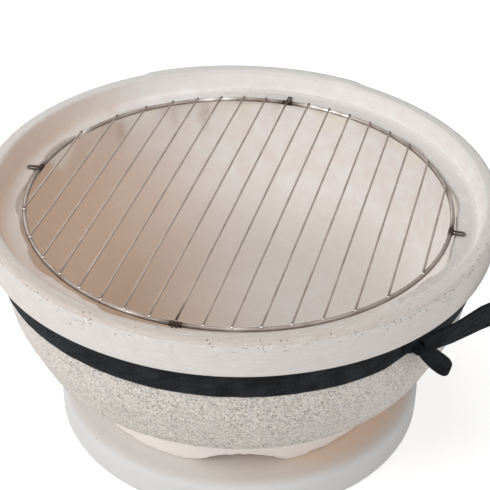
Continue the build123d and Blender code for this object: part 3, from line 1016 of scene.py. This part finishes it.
# %% Geometry Nodes: flat webbing along a line
section_points = 49
edge_bluntness = 8.0
weld_reach = 0.00001
nominal_half_width = 10.0 * MM
tree, given = start_tree("flat_webbing", {"Section points": "Int", "Folds": "Float"})
webbing_tree = tree
line = given["Geometry"]
rows_made = add_node(tree, "GeometryNodeAttributeDomainSize", {"Geometry": line}, component="MESH")
cloth = add_node(tree, "GeometryNodeMeshGrid", {
    "Vertices X": rows_made.outputs["Point Count"], "Vertices Y": given["Section points"]})
index = add_node(tree, "GeometryNodeInputIndex")
row = add_node(tree, "ShaderNodeMath", {0: index, 1: given["Section points"]}, operation="DIVIDE")
row = add_node(tree, "ShaderNodeMath", {0: row}, operation="FLOOR")
step = add_node(tree, "ShaderNodeMath", {0: index, 1: given["Section points"]}, operation="MODULO")
last_step = add_node(tree, "ShaderNodeMath", {0: given["Section points"], 1: 1.0}, operation="SUBTRACT")
round_share = add_node(tree, "ShaderNodeMath", {0: step, 1: last_step}, operation="DIVIDE")
around = add_node(tree, "ShaderNodeMath", {0: round_share, 1: 2 * math.pi}, operation="MULTIPLY")
cosine = add_node(tree, "ShaderNodeMath", {0: around}, operation="COSINE")
sideways = add_node(tree, "ShaderNodeMath", {0: cosine, 1: -1.0}, operation="MULTIPLY")
face_side = add_node(tree, "ShaderNodeMath", {0: around}, operation="SINE")
face_side = add_node(tree, "ShaderNodeMath", {0: face_side}, operation="SIGN")
square = add_node(tree, "ShaderNodeMath", {0: sideways, 1: 2.0}, operation="POWER")
blunt = add_node(tree, "ShaderNodeMath", {0: square, 1: edge_bluntness / 2}, operation="POWER")
blunt = add_node(tree, "ShaderNodeMath", {0: 1.0, 1: blunt}, operation="SUBTRACT")
blunt = add_node(tree, "ShaderNodeMath", {0: blunt, 1: 0.0}, operation="MAXIMUM")
blunt = add_node(tree, "ShaderNodeMath", {0: blunt}, operation="SQRT")
wave = add_node(tree, "ShaderNodeMath", {0: given["Folds"], 1: math.pi}, operation="MULTIPLY")
wave = add_node(tree, "ShaderNodeMath", {0: wave, 1: sideways}, operation="MULTIPLY")
wave = add_node(tree, "ShaderNodeMath", {0: wave}, operation="COSINE")
flat_edge = add_node(tree, "ShaderNodeMath", {0: 1.0, 1: square}, operation="SUBTRACT")
wave = add_node(tree, "ShaderNodeMath", {0: wave, 1: flat_edge}, operation="MULTIPLY")
at_row = {}
for label in ("across", "away", "half_width", "half_thick", "fold", "cup", "along"):
    kind = "FLOAT_VECTOR" if label in ("across", "away") else "FLOAT"
    kept = add_node(tree, "GeometryNodeInputNamedAttribute", {"Name": label}, data_type=kind)
    found = add_node(tree, "GeometryNodeSampleIndex", {
        "Geometry": line, "Value": kept, "Index": row},
        data_type=kind, domain="POINT")
    at_row[label] = found
here = add_node(tree, "GeometryNodeInputPosition")
middle = add_node(tree, "GeometryNodeSampleIndex", {
    "Geometry": line, "Value": here, "Index": row}, data_type="FLOAT_VECTOR")
out_along_width = add_node(tree, "ShaderNodeMath", {0: sideways, 1: at_row["half_width"]},
    operation="MULTIPLY")
lift_off = add_node(tree, "ShaderNodeMath", {0: face_side, 1: blunt}, operation="MULTIPLY")
lift_off = add_node(tree, "ShaderNodeMath", {0: lift_off, 1: at_row["half_thick"]}, operation="MULTIPLY")
lift_off = add_node(tree, "ShaderNodeMath", {0: wave, 1: at_row["fold"], 2: lift_off},
    operation="MULTIPLY_ADD")
lift_off = add_node(tree, "ShaderNodeMath", {0: square, 1: at_row["cup"], 2: lift_off},
    operation="MULTIPLY_ADD")
width_part = add_node(tree, "ShaderNodeVectorMath", {
    0: at_row["across"], "Scale": out_along_width}, operation="SCALE")
thick_part = add_node(tree, "ShaderNodeVectorMath", {
    0: at_row["away"], "Scale": lift_off}, operation="SCALE")
goal = add_node(tree, "ShaderNodeVectorMath", {0: middle, 1: width_part}, operation="ADD")
goal = add_node(tree, "ShaderNodeVectorMath", {0: goal, 1: thick_part}, operation="ADD")
map_across = add_node(tree, "ShaderNodeMath", {0: sideways, 1: nominal_half_width}, operation="MULTIPLY")
map_place = add_node(tree, "ShaderNodeCombineXYZ", {"X": map_across, "Y": at_row["along"]})
mapped = add_node(tree, "GeometryNodeStoreNamedAttribute", {
    "Geometry": cloth, "Name": "weave", "Value": map_place},
    data_type="FLOAT2", domain="CORNER")
laid = add_node(tree, "GeometryNodeSetPosition", {"Geometry": mapped, "Position": goal})
closed = add_node(tree, "GeometryNodeMergeByDistance", {"Geometry": laid, "Distance": weld_reach})
end_tree(tree, given, closed)
print("webbing tree nodes:", len(tree.nodes))


def webbing_mesh(name, places, across, half_width, half_thick, fold=0.0, cup=0.0,
                 folds=7.0, is_closed=False):
    """Webbing along a line of places; across is the way that its width lies."""
    places = np.array(places, float)
    count = len(places)
    across = np.broadcast_to(np.array(across, float), (count, 3))
    if is_closed:
        run = np.roll(places, -1, axis=0) - np.roll(places, 1, axis=0)
        order = np.r_[np.arange(count), 0]
    else:
        run = np.gradient(places, axis=0)
        order = np.r_[0, np.arange(count), count - 1]
    away = np.cross(run, across)
    away /= np.linalg.norm(away, axis=1)[:, None]
    steps = np.linalg.norm(np.diff(places[order], axis=0), axis=1)
    facts = {"half_width": half_width, "half_thick": half_thick, "fold": fold, "cup": cup}
    facts = {label: (np.ones(count) * value)[order] for label, value in facts.items()}
    facts["along"] = np.r_[0, np.cumsum(steps)]
    if not is_closed:
        facts["half_thick"][[0, -1]] = 0.0
    facts["across"] = across[order]
    facts["away"] = away[order]
    line = new_mesh(name + "_line", places[order], [(i, i + 1) for i in range(len(order) - 1)])
    for label, values in facts.items():
        store(line, label, values)
    sizes = {"Section points": section_points, "Folds": folds}
    return run_tree(webbing_tree, line, name, webbing, sizes)


# %% [markdown]
# The strap lies round the bowl just under the rim band. It keeps its full width
# along the front and is drawn in narrower where each knot grips it, with its upper
# edge straight and its lower edge pulled up. It is never perfectly flat, so its
# edges wander by a fraction of a millimetre.

# %% Strap round the bowl
strap_low, strap_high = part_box("strap_band")
strap_outer = (strap_high.x - strap_low.x) / 2
webbing_thick = 2.0 * MM
strap_middle_radius = strap_outer - webbing_thick / 2
strap_middle = (strap_low.z + strap_high.z) / 2
half_webbing = (strap_high.z - strap_low.z) / 2
handle_turns = {"right": math.radians(-4.5), "left": math.radians(175.5)}
pivot_stand_off = 4.8 * MM
pivot_angle = math.radians(28.5)
pivot_radius = strap_outer + pivot_stand_off
pivot_half = pivot_radius * math.sin(pivot_angle)
pivot_offset = pivot_radius * math.cos(pivot_angle)
knot_along = pivot_half + 4.4 * MM
pinch_share = 0.28
pinch_reach = 15.0 * MM
strap_sag = 1.0 * MM
strap_rows = 360


def from_handle(hand, along, out, height):
    """World place of a point given along a loop's pivot line, outwards and up."""
    turn = handle_turns[hand]
    x = along * math.sin(turn) + out * math.cos(turn)
    y = -along * math.cos(turn) + out * math.sin(turn)
    return np.stack([x, y, height + 0 * x], axis=-1)


angles = np.arange(strap_rows) * 2 * math.pi / strap_rows
knot_out = math.sqrt(strap_outer**2 - knot_along**2)
pinch = np.zeros(strap_rows)
for hand in handle_turns:
    for side in (-1, 1):
        spot = from_handle(hand, np.float64(side * knot_along), knot_out, 0.0)
        off = np.angle(np.exp(1j * (angles - math.atan2(spot[1], spot[0]))))
        pinch = np.maximum(pinch, np.exp(-((off * strap_outer / pinch_reach) ** 2)))
wander = edge_noise(angles, 9, 2.0)
ripple = edge_noise(angles, 26, 7.0)
strap_half = half_webbing * (1 - pinch_share * pinch) + 0.15 * MM * ripple
strap_height = strap_middle - strap_sag + (half_webbing - strap_half) * 0.7 + 0.2 * MM * wander
strap_radius = strap_middle_radius + 0.12 * MM * ripple + 0.2 * MM * pinch
strap_line = np.stack([
    strap_radius * np.cos(angles), strap_radius * np.sin(angles), strap_height], axis=1)
strap_mesh = webbing_mesh(
    "strap_webbing", strap_line, (0, 0, 1), strap_half, webbing_thick / 2,
    fold=0.10 * MM + 0.5 * MM * pinch, folds=5.0, is_closed=True)
strap_mesh = joined("strap_webbing", [strap_mesh])
put_on_body(strap_mesh, "strap_webbing", "bowl", ["strap_band"])

# %% [markdown]
# A lifting loop is the same webbing standing on edge in an arch between two knots.
# It is bunched where it goes into the knots and opens out to its full width within
# a few centimetres, so its folds fade towards the crown. Once it is past the rim
# band it rises a little and leans back, so that it clears the band as it swings.

# %% Lifting loops
crown_round = 40.0 * MM
lift_angle = math.radians(38)
bunch_reach = 20.0 * MM
bunch_narrowing = 0.34
bunch_thickening = 0.8
loop_margin = 0.5 * MM
rim_reach = 172 * MM
past_rim = 14 * MM
crown_lift = 3.2 * MM
twist_lanes = {"right": 5.0, "left": 31.0}
corner_out = pivot_offset + pivot_half * math.tan(lift_angle)
arc_middle = corner_out - crown_round / math.cos(lift_angle)
arc_end = crown_round * math.sin(lift_angle)
leg_along = np.linspace(pivot_half + loop_margin, arc_end, 34)
leg_out = pivot_offset + (pivot_half - leg_along) * math.tan(lift_angle)
arc_turns = np.linspace(lift_angle, -lift_angle, 28)[1:-1]
loop_along = np.concatenate([leg_along, crown_round * np.sin(arc_turns), -leg_along[::-1]])
loop_out = np.concatenate([leg_out, arc_middle + crown_round * np.cos(arc_turns), leg_out[::-1]])
for smoothing in range(6):
    loop_out[1:-1] = (loop_out[:-2] + 2 * loop_out[1:-1] + loop_out[2:]) / 4
to_knot = pivot_half - np.abs(loop_along)
bunched = np.exp(-((np.clip(to_knot, 0, None) / bunch_reach) ** 2))
for hand in handle_turns:
    twist = np.array([noise.noise(Vector((a * 14, twist_lanes[hand], 1.0))) for a in loop_along])
    out_of_rim = np.clip((loop_out - rim_reach) / past_rim, 0, 1)
    lean = 0.06 * twist + (1 - bunched) * (0.12 - 0.17 * out_of_rim)
    turn = handle_turns[hand]
    outwards = np.array([math.cos(turn), math.sin(turn), 0.0])
    loop_line = from_handle(hand, loop_along, loop_out, strap_middle + crown_lift * out_of_rim)
    loop_across = np.array([0, 0, 1.0]) + lean[:, None] * outwards
    loop_across /= np.linalg.norm(loop_across, axis=1)[:, None]
    loop_mesh = webbing_mesh(
        hand + "_loop_webbing", loop_line, loop_across,
        half_webbing * (1 - bunch_narrowing * bunched),
        webbing_thick / 2 * (1 + bunch_thickening * bunched),
        fold=0.15 * MM + 0.8 * MM * bunched, cup=0.5 * MM * (1 - bunched), folds=5.0)
    loop_mesh = joined(hand + "_loop_webbing", [loop_mesh])
    put_on_body(loop_mesh, hand + "_loop_webbing", hand + "_handle", [hand + "_loop"])

# %% [markdown]
# Each knot is small and tight: the loop's end, bunched, runs behind the strap's
# edge, and one turn of webbing closes round it close to the loop. The loose end
# comes out of that turn as a leaf. It leaves the knot folded narrow, opens to its
# full width as it hangs, and its cut end is trimmed at the corners. Its folds fan
# out from the knot, which is what makes it read as webbing and not as a flap.

# %% Knots and loose ends
knot_lift = 2.8 * MM
core_half_length = 5.4 * MM
core_stand_off = 2.8 * MM
core_lead = 1.3 * MM
core_half_width = 5.2 * MM
core_width_taper = 1.3 * MM
core_half_thick = 3.4 * MM
core_thick_taper = 1.4 * MM
turn_back = 1.2 * MM
turn_slant = 0.22
turn_half_height = 5.6 * MM
turn_half_depth = 4.6 * MM
turn_middle = pivot_offset + webbing_thick - 2.9 * MM
turn_half_width = 3.3 * MM
turn_half_thick = 1.0 * MM
leaf_route = np.array([  # out from the bowl's axis and up from the table
    [151.5, 151.2], [155.2, 151.3], [159.2, 150.1], [163.8, 147.9],
    [167.8, 145.5], [171.4, 143.7], [174.5, 142.3], [177.2, 141.3]]) * MM
leaf_opening = [0, 0.14, 0.3, 0.5, 0.7, 0.86, 0.95, 1.0]
leaf_half_widths = np.array([3.8, 5.4, 8.4, 10.0, 10.2, 9.4, 7.6, 5.4]) * MM
leaf_half_thick = 0.9 * MM
leaf_start = 0.8 * MM
leaf_drift = 2.6 * MM
leaf_rows = 30
leaf_share = np.linspace(0, 1, leaf_rows)
route_share = np.linspace(0, 1, len(leaf_route))
leaf_out, leaf_height = [np.interp(leaf_share, route_share, column) for column in leaf_route.T]
for smoothing in range(8):
    for values in (leaf_out, leaf_height):
        values[1:-1] = (values[:-2] + 2 * values[1:-1] + values[2:]) / 4
leaf_half = np.interp(leaf_share, leaf_opening, leaf_half_widths)
leaf_along = knot_along + leaf_start + leaf_drift * np.sin(
    np.minimum(leaf_share, 0.6) / 0.6 * math.pi / 2)

core_share = np.linspace(-1, 1, 15)
core_along = knot_along + core_half_length * core_share
core_out = np.sqrt(strap_outer**2 - core_along**2) + core_stand_off - core_lead * core_share
spin = np.arange(48) * 2 * math.pi / 48
turn_height = turn_half_height * np.sin(spin)
turn_along = knot_along - turn_back - turn_slant * turn_height
turn_out = turn_middle + turn_half_depth * np.cos(spin)
for hand in handle_turns:
    front = 1 if hand == "right" else -1
    turn = handle_turns[hand]
    lengthways = np.array([math.sin(turn), -math.cos(turn), 0.0])
    for end_name, side in (("front", front), ("rear", -front)):
        name = f"{hand}_{end_name}"
        core = webbing_mesh(
            name + "_core", from_handle(hand, side * core_along, core_out, strap_middle + knot_lift),
            (0, 0, 1), core_half_width - core_width_taper * core_share**2,
            core_half_thick - core_thick_taper * core_share**2, fold=0.7 * MM, folds=5.0)
        band_across = side * lengthways + np.array([0, 0, turn_slant])
        band = webbing_mesh(
            name + "_turn",
            from_handle(hand, side * turn_along, turn_out, strap_middle + knot_lift + turn_height),
            band_across / np.linalg.norm(band_across), turn_half_width, turn_half_thick,
            fold=0.45 * MM, cup=-0.5 * MM, folds=3.0, is_closed=True)
        knot_mesh = joined(name + "_knot_webbing", [core, band])
        put_on_body(knot_mesh, name + "_knot_webbing", "bowl", [name + "_knot"])
        leaf_mesh = webbing_mesh(
            name + "_tail_webbing", from_handle(hand, side * leaf_along, leaf_out, leaf_height),
            side * lengthways, leaf_half, leaf_half_thick,
            fold=(1.1 - 0.65 * leaf_share) * MM, cup=(0.5 + 1.0 * leaf_share) * MM, folds=4.0)
        leaf_mesh = joined(name + "_tail_webbing", [leaf_mesh])
        put_on_body(leaf_mesh, name + "_tail_webbing", "bowl", [name + "_tail"])

# %% [markdown]
# The grate is hard drawn steel wire, plated once and since dulled by fire: a
# greyish brown metal, with glints painted white at a few places on the ring. The
# rods have a warm tint painted towards the near left, a painted reflection of the tan
# clay round them, and the welds have burnt the wire dark round the lugs. Three
# numbers, for the painted reflection, the burn and the painted glint, are stored on
# the wire's points, worked out from where each point is and how far from a weld.

# %% Material: fire-dulled plated wire
painted_glint_plate = linear("#F2F1EE")
painted_warm_reflection = linear("#B5A497")
dulled_plate = linear("#9A908A")
tarnish = linear("#7A7068")
weld_burn = linear("#40352F")
wire_steel, tree, place, surface = new_material("plated_steel_wire_fire_dulled")
burn, warm_reflection, painted_glint = [
    add_node(tree, "ShaderNodeAttribute", attribute_name=name).outputs["Fac"]
    for name in ("burn", "warm_reflection", "painted_glint")]
blotches = add_node(tree, "ShaderNodeTexNoise", {
    "Vector": place, "Scale": per_metre(16), "Detail": 3.0, "Roughness": 0.6})
blotch_share = add_node(tree, "ShaderNodeMapRange", {
    "Value": blotches, "From Min": 0.42, "From Max": 0.68, "To Max": 0.8})
tone = add_node(tree, "ShaderNodeMix", {
    "Factor": blotch_share, "A": dulled_plate, "B": tarnish}, data_type="RGBA")
# Over the tone go the painted reflection of warm clay, the burn and the painted white glints
for share, colour in ((warm_reflection, painted_warm_reflection), (burn, weld_burn), (painted_glint, painted_glint_plate)):
    tone = add_node(tree, "ShaderNodeMix", {"Factor": share, "A": tone, "B": colour}, data_type="RGBA")
dull = add_node(tree, "ShaderNodeMapRange", {"Value": burn, "To Min": 0.46, "To Max": 0.62})
dull = add_node(tree, "ShaderNodeMath", {0: painted_glint, 1: -0.25, 2: dull}, operation="MULTIPLY_ADD")
dull = add_node(tree, "ShaderNodeMath", {0: warm_reflection, 1: 0.25, 2: dull}, operation="MULTIPLY_ADD")
die_marks = add_node(tree, "ShaderNodeTexNoise", {
    "Vector": place, "Scale": per_metre(0.8), "Detail": 2.0})
relief = add_node(tree, "ShaderNodeBump", {"Height": die_marks, "Strength": 0.25, "Distance": 0.0001})
fill(surface, {"Base Color": tone, "Normal": relief, "Roughness": dull, "Metallic": 1.0})
print("wire material nodes:", len(tree.nodes))

# %% [markdown]
# Every wire of the grate is a round bar along a line, so one small tree makes the
# ring, the seventeen rods, the hairpin lugs and the collars. Each rod is bowed by
# a few tenths of a millimetre, as hand-cut wire is.

# %% Geometry Nodes: round wire along lines
wire_tree, given = start_tree("round_wire", {"Wire radius": "Float", "Sides": "Int"})
route = add_node(wire_tree, "GeometryNodeMeshToCurve", {"Mesh": given["Geometry"]})
section = add_node(wire_tree, "GeometryNodeCurvePrimitiveCircle", {
    "Resolution": given["Sides"], "Radius": given["Wire radius"]}, mode="RADIUS")
bar = add_node(wire_tree, "GeometryNodeCurveToMesh", {
    "Curve": route, "Profile Curve": section, "Fill Caps": True})
end_tree(wire_tree, given, bar)


def wire_mesh(name, lines, radius, sides, is_ring=False):
    """Round wire along one or more lines of places."""
    points, pairs = [], []
    for places in lines:
        first = len(points)
        points += list(places)
        pairs += [(first + i, first + i + 1) for i in range(len(places) - 1)]
        if is_ring:
            pairs.append((len(points) - 1, first))
    start = new_mesh(name + "_lines", points, pairs)
    made = run_tree(wire_tree, start, name, wire_steel, {"Wire radius": radius, "Sides": sides})
    return joined(name, [made])


def near(places, spots, reach):
    """How near each place is to the nearest of some spots, from 0 to 1."""
    gaps = np.linalg.norm(places[:, None, :] - np.array(spots)[None, :, :], axis=2).min(axis=1)
    return np.exp(-((gaps / reach) ** 2))


# %% Ring, rods, lugs and collars
ring_low, ring_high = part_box("grate_ring")
ring_wire = ring_high.z - ring_low.z
ring_radius = (ring_high.x - ring_low.x - ring_wire) / 2
ring_height = (ring_high.z + ring_low.z) / 2
rod_names = sorted(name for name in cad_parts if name.startswith("grate_rod_"))
lug_names = sorted(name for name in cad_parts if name.startswith("grate_lug_"))
collar_names = sorted(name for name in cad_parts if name.startswith("grate_collar_"))
weld_angles = [k * math.pi / 2 for k in range(len(collar_names))]


def on_ring(angles):
    """Places on the middle line of the ring."""
    angles = np.asarray(angles, float)
    return np.stack([
        ring_radius * np.cos(angles), ring_radius * np.sin(angles), ring_height + 0 * angles], axis=-1)


weld_spots = on_ring(weld_angles)

ring_points = 288
ring_line = on_ring(np.arange(ring_points) * 2 * math.pi / ring_points)
ring_mesh = wire_mesh("grate_ring_wire", [ring_line], ring_wire / 2, 16, is_ring=True)

random_rods = np.random.default_rng(17)
most_bow = 0.35
rod_lines, rod_ends = [], []
for name in rod_names:
    low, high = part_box(name)
    rod_wire = high.x - low.x
    share = np.linspace(-1, 1, 15)
    bow, dip = random_rods.uniform(-most_bow, most_bow, 2) * MM
    rod_lines.append(np.stack([
        (low.x + high.x) / 2 + bow * (1 - share**2),
        (low.y + high.y) / 2 + share * (high.y - low.y) / 2,
        (low.z + high.z) / 2 + 0.4 * dip * (1 - share**2)], axis=1))
    rod_ends += [rod_lines[-1][0], rod_lines[-1][-1]]
rods_mesh = wire_mesh("grate_rod_wires", rod_lines, rod_wire / 2, 12)

lug_wire = 1.4 * MM
collar_length = 8.0 * MM
collar_wall = 0.3 * MM
lug_half_spacings = [1.85 * MM, 1.25 * MM, 1.95 * MM, 1.3 * MM]
lug_lines, collar_lines, lug_roots = [], [], []
for name, angle, lug_half_spacing in zip(lug_names, weld_angles, lug_half_spacings):
    low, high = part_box(name)
    tip = max(abs(v) for v in (low.x, low.y, high.x, high.y))
    root = ring_radius + ring_wire / 2
    bend = np.linspace(-math.pi / 2, math.pi / 2, 13)
    out = tip - lug_wire / 2 - lug_half_spacing + lug_half_spacing * np.cos(bend)
    out = np.r_[root, out, root]
    beside = lug_half_spacing * np.r_[-1, np.sin(bend), 1]
    lug_lines.append(np.stack([
        out * math.cos(angle) - beside * math.sin(angle),
        out * math.sin(angle) + beside * math.cos(angle),
        (low.z + high.z) / 2 + 0 * out], axis=1))
    lug_roots += [lug_lines[-1][0], lug_lines[-1][-1]]
    collar_lines.append(on_ring(angle + np.linspace(-0.5, 0.5, 17) * collar_length / ring_radius))
lugs_mesh = wire_mesh("grate_lug_wires", lug_lines, lug_wire / 2, 12)
collars_mesh = wire_mesh("grate_collar_sleeves", collar_lines, ring_wire / 2 + collar_wall, 20)
push(collars_mesh, lambda point, index: 0.22 * MM * noise.noise(point * per_metre(2.5)))

# %% [markdown]
# Three marks are stored on the wire. The burn fades with the distance
# from each weld; on the rods it is strongest at the two ends of the middle one,
# which lie at the front and back lugs. Glints are painted white at a few places
# on the ring, given in degrees round it. The painted reflection of warm clay on the
# rods grows towards the near left.

# %% Numbers that the wire's material reads
# Places on the ring, in degrees, where a white glint is painted, and how strong
glint_places = {109: 0.65, 114: 0.6, 70: 0.55, 76: 0.9, 82: 0.75, 158: 0.7, -76: 0.3, -103: 0.25}
glint_reach = 6 * MM
near_left = np.array([-0.70, -0.71, 0.0])
warm_reflection_start = 45 * MM
warm_reflection_range = 60 * MM
middle_rod_ends = [p for p in rod_ends if abs(p[0]) < 1 * MM]
for mesh, spots, reach, least in (
        (ring_mesh, weld_spots, 7.5 * MM, 0.0), (rods_mesh, rod_ends, 3.5 * MM, 0.0),
        (lugs_mesh, lug_roots, 8 * MM, 0.62), (collars_mesh, weld_spots, 30 * MM, 0.8)):
    places = np.array([v.co for v in mesh.vertices])
    burnt = near(places, spots, reach)
    if mesh is rods_mesh:
        burnt = np.maximum(0.35 * burnt, near(places, middle_rod_ends, 9 * MM))
    store(mesh, "burn", np.maximum(burnt, least))
    kept = np.zeros(len(places))
    if mesh is ring_mesh:
        for degrees, amount in glint_places.items():
            spot = on_ring([math.radians(degrees)])
            kept = np.maximum(kept, amount * near(places, spot, glint_reach))
    store(mesh, "painted_glint", kept)
    # A warm tint painted on the rods towards the near left, as a painted reflection of the tan clay
    warm_reflection_of = np.clip((places @ near_left - warm_reflection_start) / warm_reflection_range, 0.18, 0.45)
    store(mesh, "warm_reflection", warm_reflection_of * (mesh is rods_mesh))
put_on_body(ring_mesh, "grate_ring_wire", "grate", ["grate_ring"])
put_on_body(rods_mesh, "grate_rod_wires", "grate", rod_names)
put_on_body(lugs_mesh, "grate_lug_wires", "grate", lug_names)
put_on_body(collars_mesh, "grate_collar_sleeves", "grate", collar_names)

# %% [markdown]
# A spot weld squeezes out a small nugget where each rod crosses the ring, with a
# glint painted white on those at the front, and a darker lump where a lug meets its
# collar. They are flattened drops placed on points, each turned and sized a little
# differently by seeded random numbers.

# %% Geometry Nodes: weld beads
bead_tree, given = start_tree("weld_beads", {"Bead size": "Float", "Seed": "Int"})
drop = add_node(bead_tree, "GeometryNodeMeshIcoSphere", {"Radius": given["Bead size"], "Subdivisions": 2})
stretch = add_node(bead_tree, "FunctionNodeRandomValue", {
    0: (0.8, 0.8, 0.6), 1: (1.25, 1.25, 0.95), "Seed": given["Seed"]}, data_type="FLOAT_VECTOR")
swivel = add_node(bead_tree, "FunctionNodeRandomValue", {
    0: (-0.3, -0.3, 0.0), 1: (0.3, 0.3, 2 * math.pi), "Seed": given["Seed"]}, data_type="FLOAT_VECTOR")
beads = add_node(bead_tree, "GeometryNodeInstanceOnPoints", {
    "Points": given["Geometry"], "Instance": drop,
    "Rotation": swivel, "Scale": stretch})
end_tree(bead_tree, given, beads)
bead_height = ring_height + ring_wire / 2 + 0.1 * MM
bead_points = new_mesh("bead_points", [(end[0], end[1], bead_height) for end in rod_ends])
nuggets = run_tree(bead_tree, bead_points, "rod_welds", wire_steel, {"Bead size": 1.15 * MM, "Seed": 3})
lump_points = new_mesh("lump_points", lug_roots)
lumps = run_tree(bead_tree, lump_points, "lug_welds", wire_steel, {"Bead size": 1.1 * MM, "Seed": 8})
for mesh, amount in ((nuggets, 0.0), (lumps, 0.9)):
    store(mesh, "burn", [amount] * len(mesh.vertices))
    # A white glint is painted on the nuggets at the front
    at_front = [v.co.y < 0 and abs(v.co.x) > 6 * MM for v in mesh.vertices]
    store(mesh, "painted_glint", 0.55 * (amount == 0) * np.array(at_front))
    store(mesh, "warm_reflection", [0.0] * len(mesh.vertices))
welds_mesh = joined("grate_weld_beads", [nuggets, lumps])
put_on_body(welds_mesh, "grate_weld_beads", "grate")

# %% [markdown]
# Below the strap the clay was left rough, and grains of crushed brick stand out
# of it. They are scattered over the bowl where the stored grit number is high,
# each a small lump of twenty faces half sunk in the wall. Every grain keeps a
# random shade of its own, which the material below turns into cream, clay or grey.

# %% Material: grains of grit
grain_clay, tree, place, surface = new_material("crushed_fired_grit")
shade = add_node(tree, "ShaderNodeAttribute", attribute_name="shade").outputs["Fac"]
ramp = add_node(tree, "ShaderNodeValToRGB", {"Fac": shade})
stops = ((0.0, "#B0A59B"), (0.10, "#C4BBB2"), (0.25, "#D3CCC4"), (0.7, "#DDD6CE"), (1.0, "#EEE7DC"))
for k, (where, code) in enumerate(stops):
    stop = ramp.color_ramp.elements[k] if k < 2 else ramp.color_ramp.elements.new(where)
    stop.position = where
    stop.color = linear(code)
fill(surface, {"Base Color": ramp, "Roughness": 0.93, "Specular IOR Level": 0.2})
print("shades of grit:", len(stops))

# %% Geometry Nodes: scattered grit
grit_tree, given = start_tree("scattered_grit", {
    "Grains per square metre": "Float", "Smallest": "Float", "Largest": "Float", "Seed": "Int"})
rough = add_node(grit_tree, "GeometryNodeInputNamedAttribute", {"Name": "grit"}, data_type="FLOAT")
crowd = add_node(grit_tree, "ShaderNodeMath", {
    0: rough, 1: given["Grains per square metre"]}, operation="MULTIPLY")
spots = add_node(grit_tree, "GeometryNodeDistributePointsOnFaces", {
    "Mesh": given["Geometry"], "Density": crowd, "Seed": given["Seed"]},
    distribute_method="RANDOM")
size = add_node(grit_tree, "FunctionNodeRandomValue", {
    2: given["Smallest"], 3: given["Largest"], "Seed": given["Seed"]}, data_type="FLOAT")
squat = add_node(grit_tree, "ShaderNodeVectorMath", {
    0: (1.0, 0.8, 0.6), "Scale": size}, operation="SCALE")
spun = add_node(grit_tree, "FunctionNodeRandomValue", {
    0: (0, 0, 0), 1: (0.4, 0.4, 2 * math.pi), "Seed": given["Seed"]}, data_type="FLOAT_VECTOR")
facing = add_node(grit_tree, "FunctionNodeRotateRotation", {
    "Rotation": spots.outputs["Rotation"], "Rotate By": spun}, rotation_space="LOCAL")
lump = add_node(grit_tree, "GeometryNodeMeshIcoSphere", {"Radius": 1.0, "Subdivisions": 1})
grains = add_node(grit_tree, "GeometryNodeInstanceOnPoints", {
    "Points": spots.outputs["Points"], "Instance": lump,
    "Rotation": facing, "Scale": squat})
own_shade = add_node(grit_tree, "FunctionNodeRandomValue", {2: 0.0, 3: 1.0, "Seed": 41}, data_type="FLOAT")
shaded = add_node(grit_tree, "GeometryNodeStoreNamedAttribute", {
    "Geometry": grains, "Name": "shade", "Value": own_shade},
    data_type="FLOAT", domain="INSTANCE")
end_tree(grit_tree, given, shaded)
grit_mesh = run_tree(grit_tree, bowl_mesh, "bowl_grit", grain_clay, {
    "Grains per square metre": 62000.0, "Smallest": 0.25 * MM, "Largest": 0.62 * MM, "Seed": 11})
put_on_body(grit_mesh, "bowl_grit", "bowl")

# %% [markdown]
# The webbing's lower edge has frayed a little where it rubs on the grit. Each
# loose yarn is a thin cone, drawn 0.3 mm thick because a real one of a tenth of
# that would not show. Points along the edge carry the way each yarn leans.

# %% Geometry Nodes: frayed yarns
yarn_slimness = 0.055
fibre_tree, given = start_tree("frayed_yarns", {"Yarn length": "Float", "Seed": "Int"})
half_yarn = add_node(fibre_tree, "ShaderNodeMath", {
    0: given["Yarn length"], 1: yarn_slimness}, operation="MULTIPLY")
yarn = add_node(fibre_tree, "GeometryNodeMeshCone", {
    "Vertices": 5, "Radius Bottom": half_yarn, "Radius Top": 0.04 * MM,
    "Depth": given["Yarn length"]})
lean = add_node(fibre_tree, "GeometryNodeInputNamedAttribute", {"Name": "lean"}, data_type="FLOAT_VECTOR")
aimed = add_node(fibre_tree, "FunctionNodeAlignRotationToVector", {"Vector": lean}, axis="Z")
longer = add_node(fibre_tree, "FunctionNodeRandomValue", {
    2: 0.6, 3: 1.25, "Seed": given["Seed"]}, data_type="FLOAT")
yarns = add_node(fibre_tree, "GeometryNodeInstanceOnPoints", {
    "Points": given["Geometry"], "Instance": yarn,
    "Rotation": aimed, "Scale": longer})
end_tree(fibre_tree, given, yarns)
random_frays = np.random.default_rng(5)
tufts = [  # degrees round the strap and the number of yarns
    (-28, 4), (-33, 3), (-41, 3), (-52, 2), (-95, 4), (-99, 3), (-118, 3), (-140, 2), (30, 3), (75, 3),
    (110, 2), (150, 3)]
fray_places, fray_leans = [], []
for middle, count in tufts:
    for angle in np.radians(random_frays.normal(middle, 1.3, count)):
        k = int(round(angle / (2 * math.pi) * strap_rows)) % strap_rows
        radius = strap_radius[k] + 0.9 * MM
        fray_places.append((
            radius * math.cos(angle), radius * math.sin(angle),
            strap_height[k] - strap_half[k] + 0.2 * MM))
        sweep, outwards = random_frays.uniform(-0.7, 0.7), random_frays.uniform(0.1, 0.6)
        fray_leans.append((
            outwards * math.cos(angle) - sweep * math.sin(angle),
            outwards * math.sin(angle) + sweep * math.cos(angle), -1.0))
fray_points = new_mesh("fray_points", fray_places)
store(fray_points, "lean", fray_leans)
fray_mesh = run_tree(fibre_tree, fray_points, "strap_frayed_yarns", webbing, {
    "Yarn length": 2.6 * MM, "Seed": 4})
put_on_body(fray_mesh, "strap_frayed_yarns", "bowl")
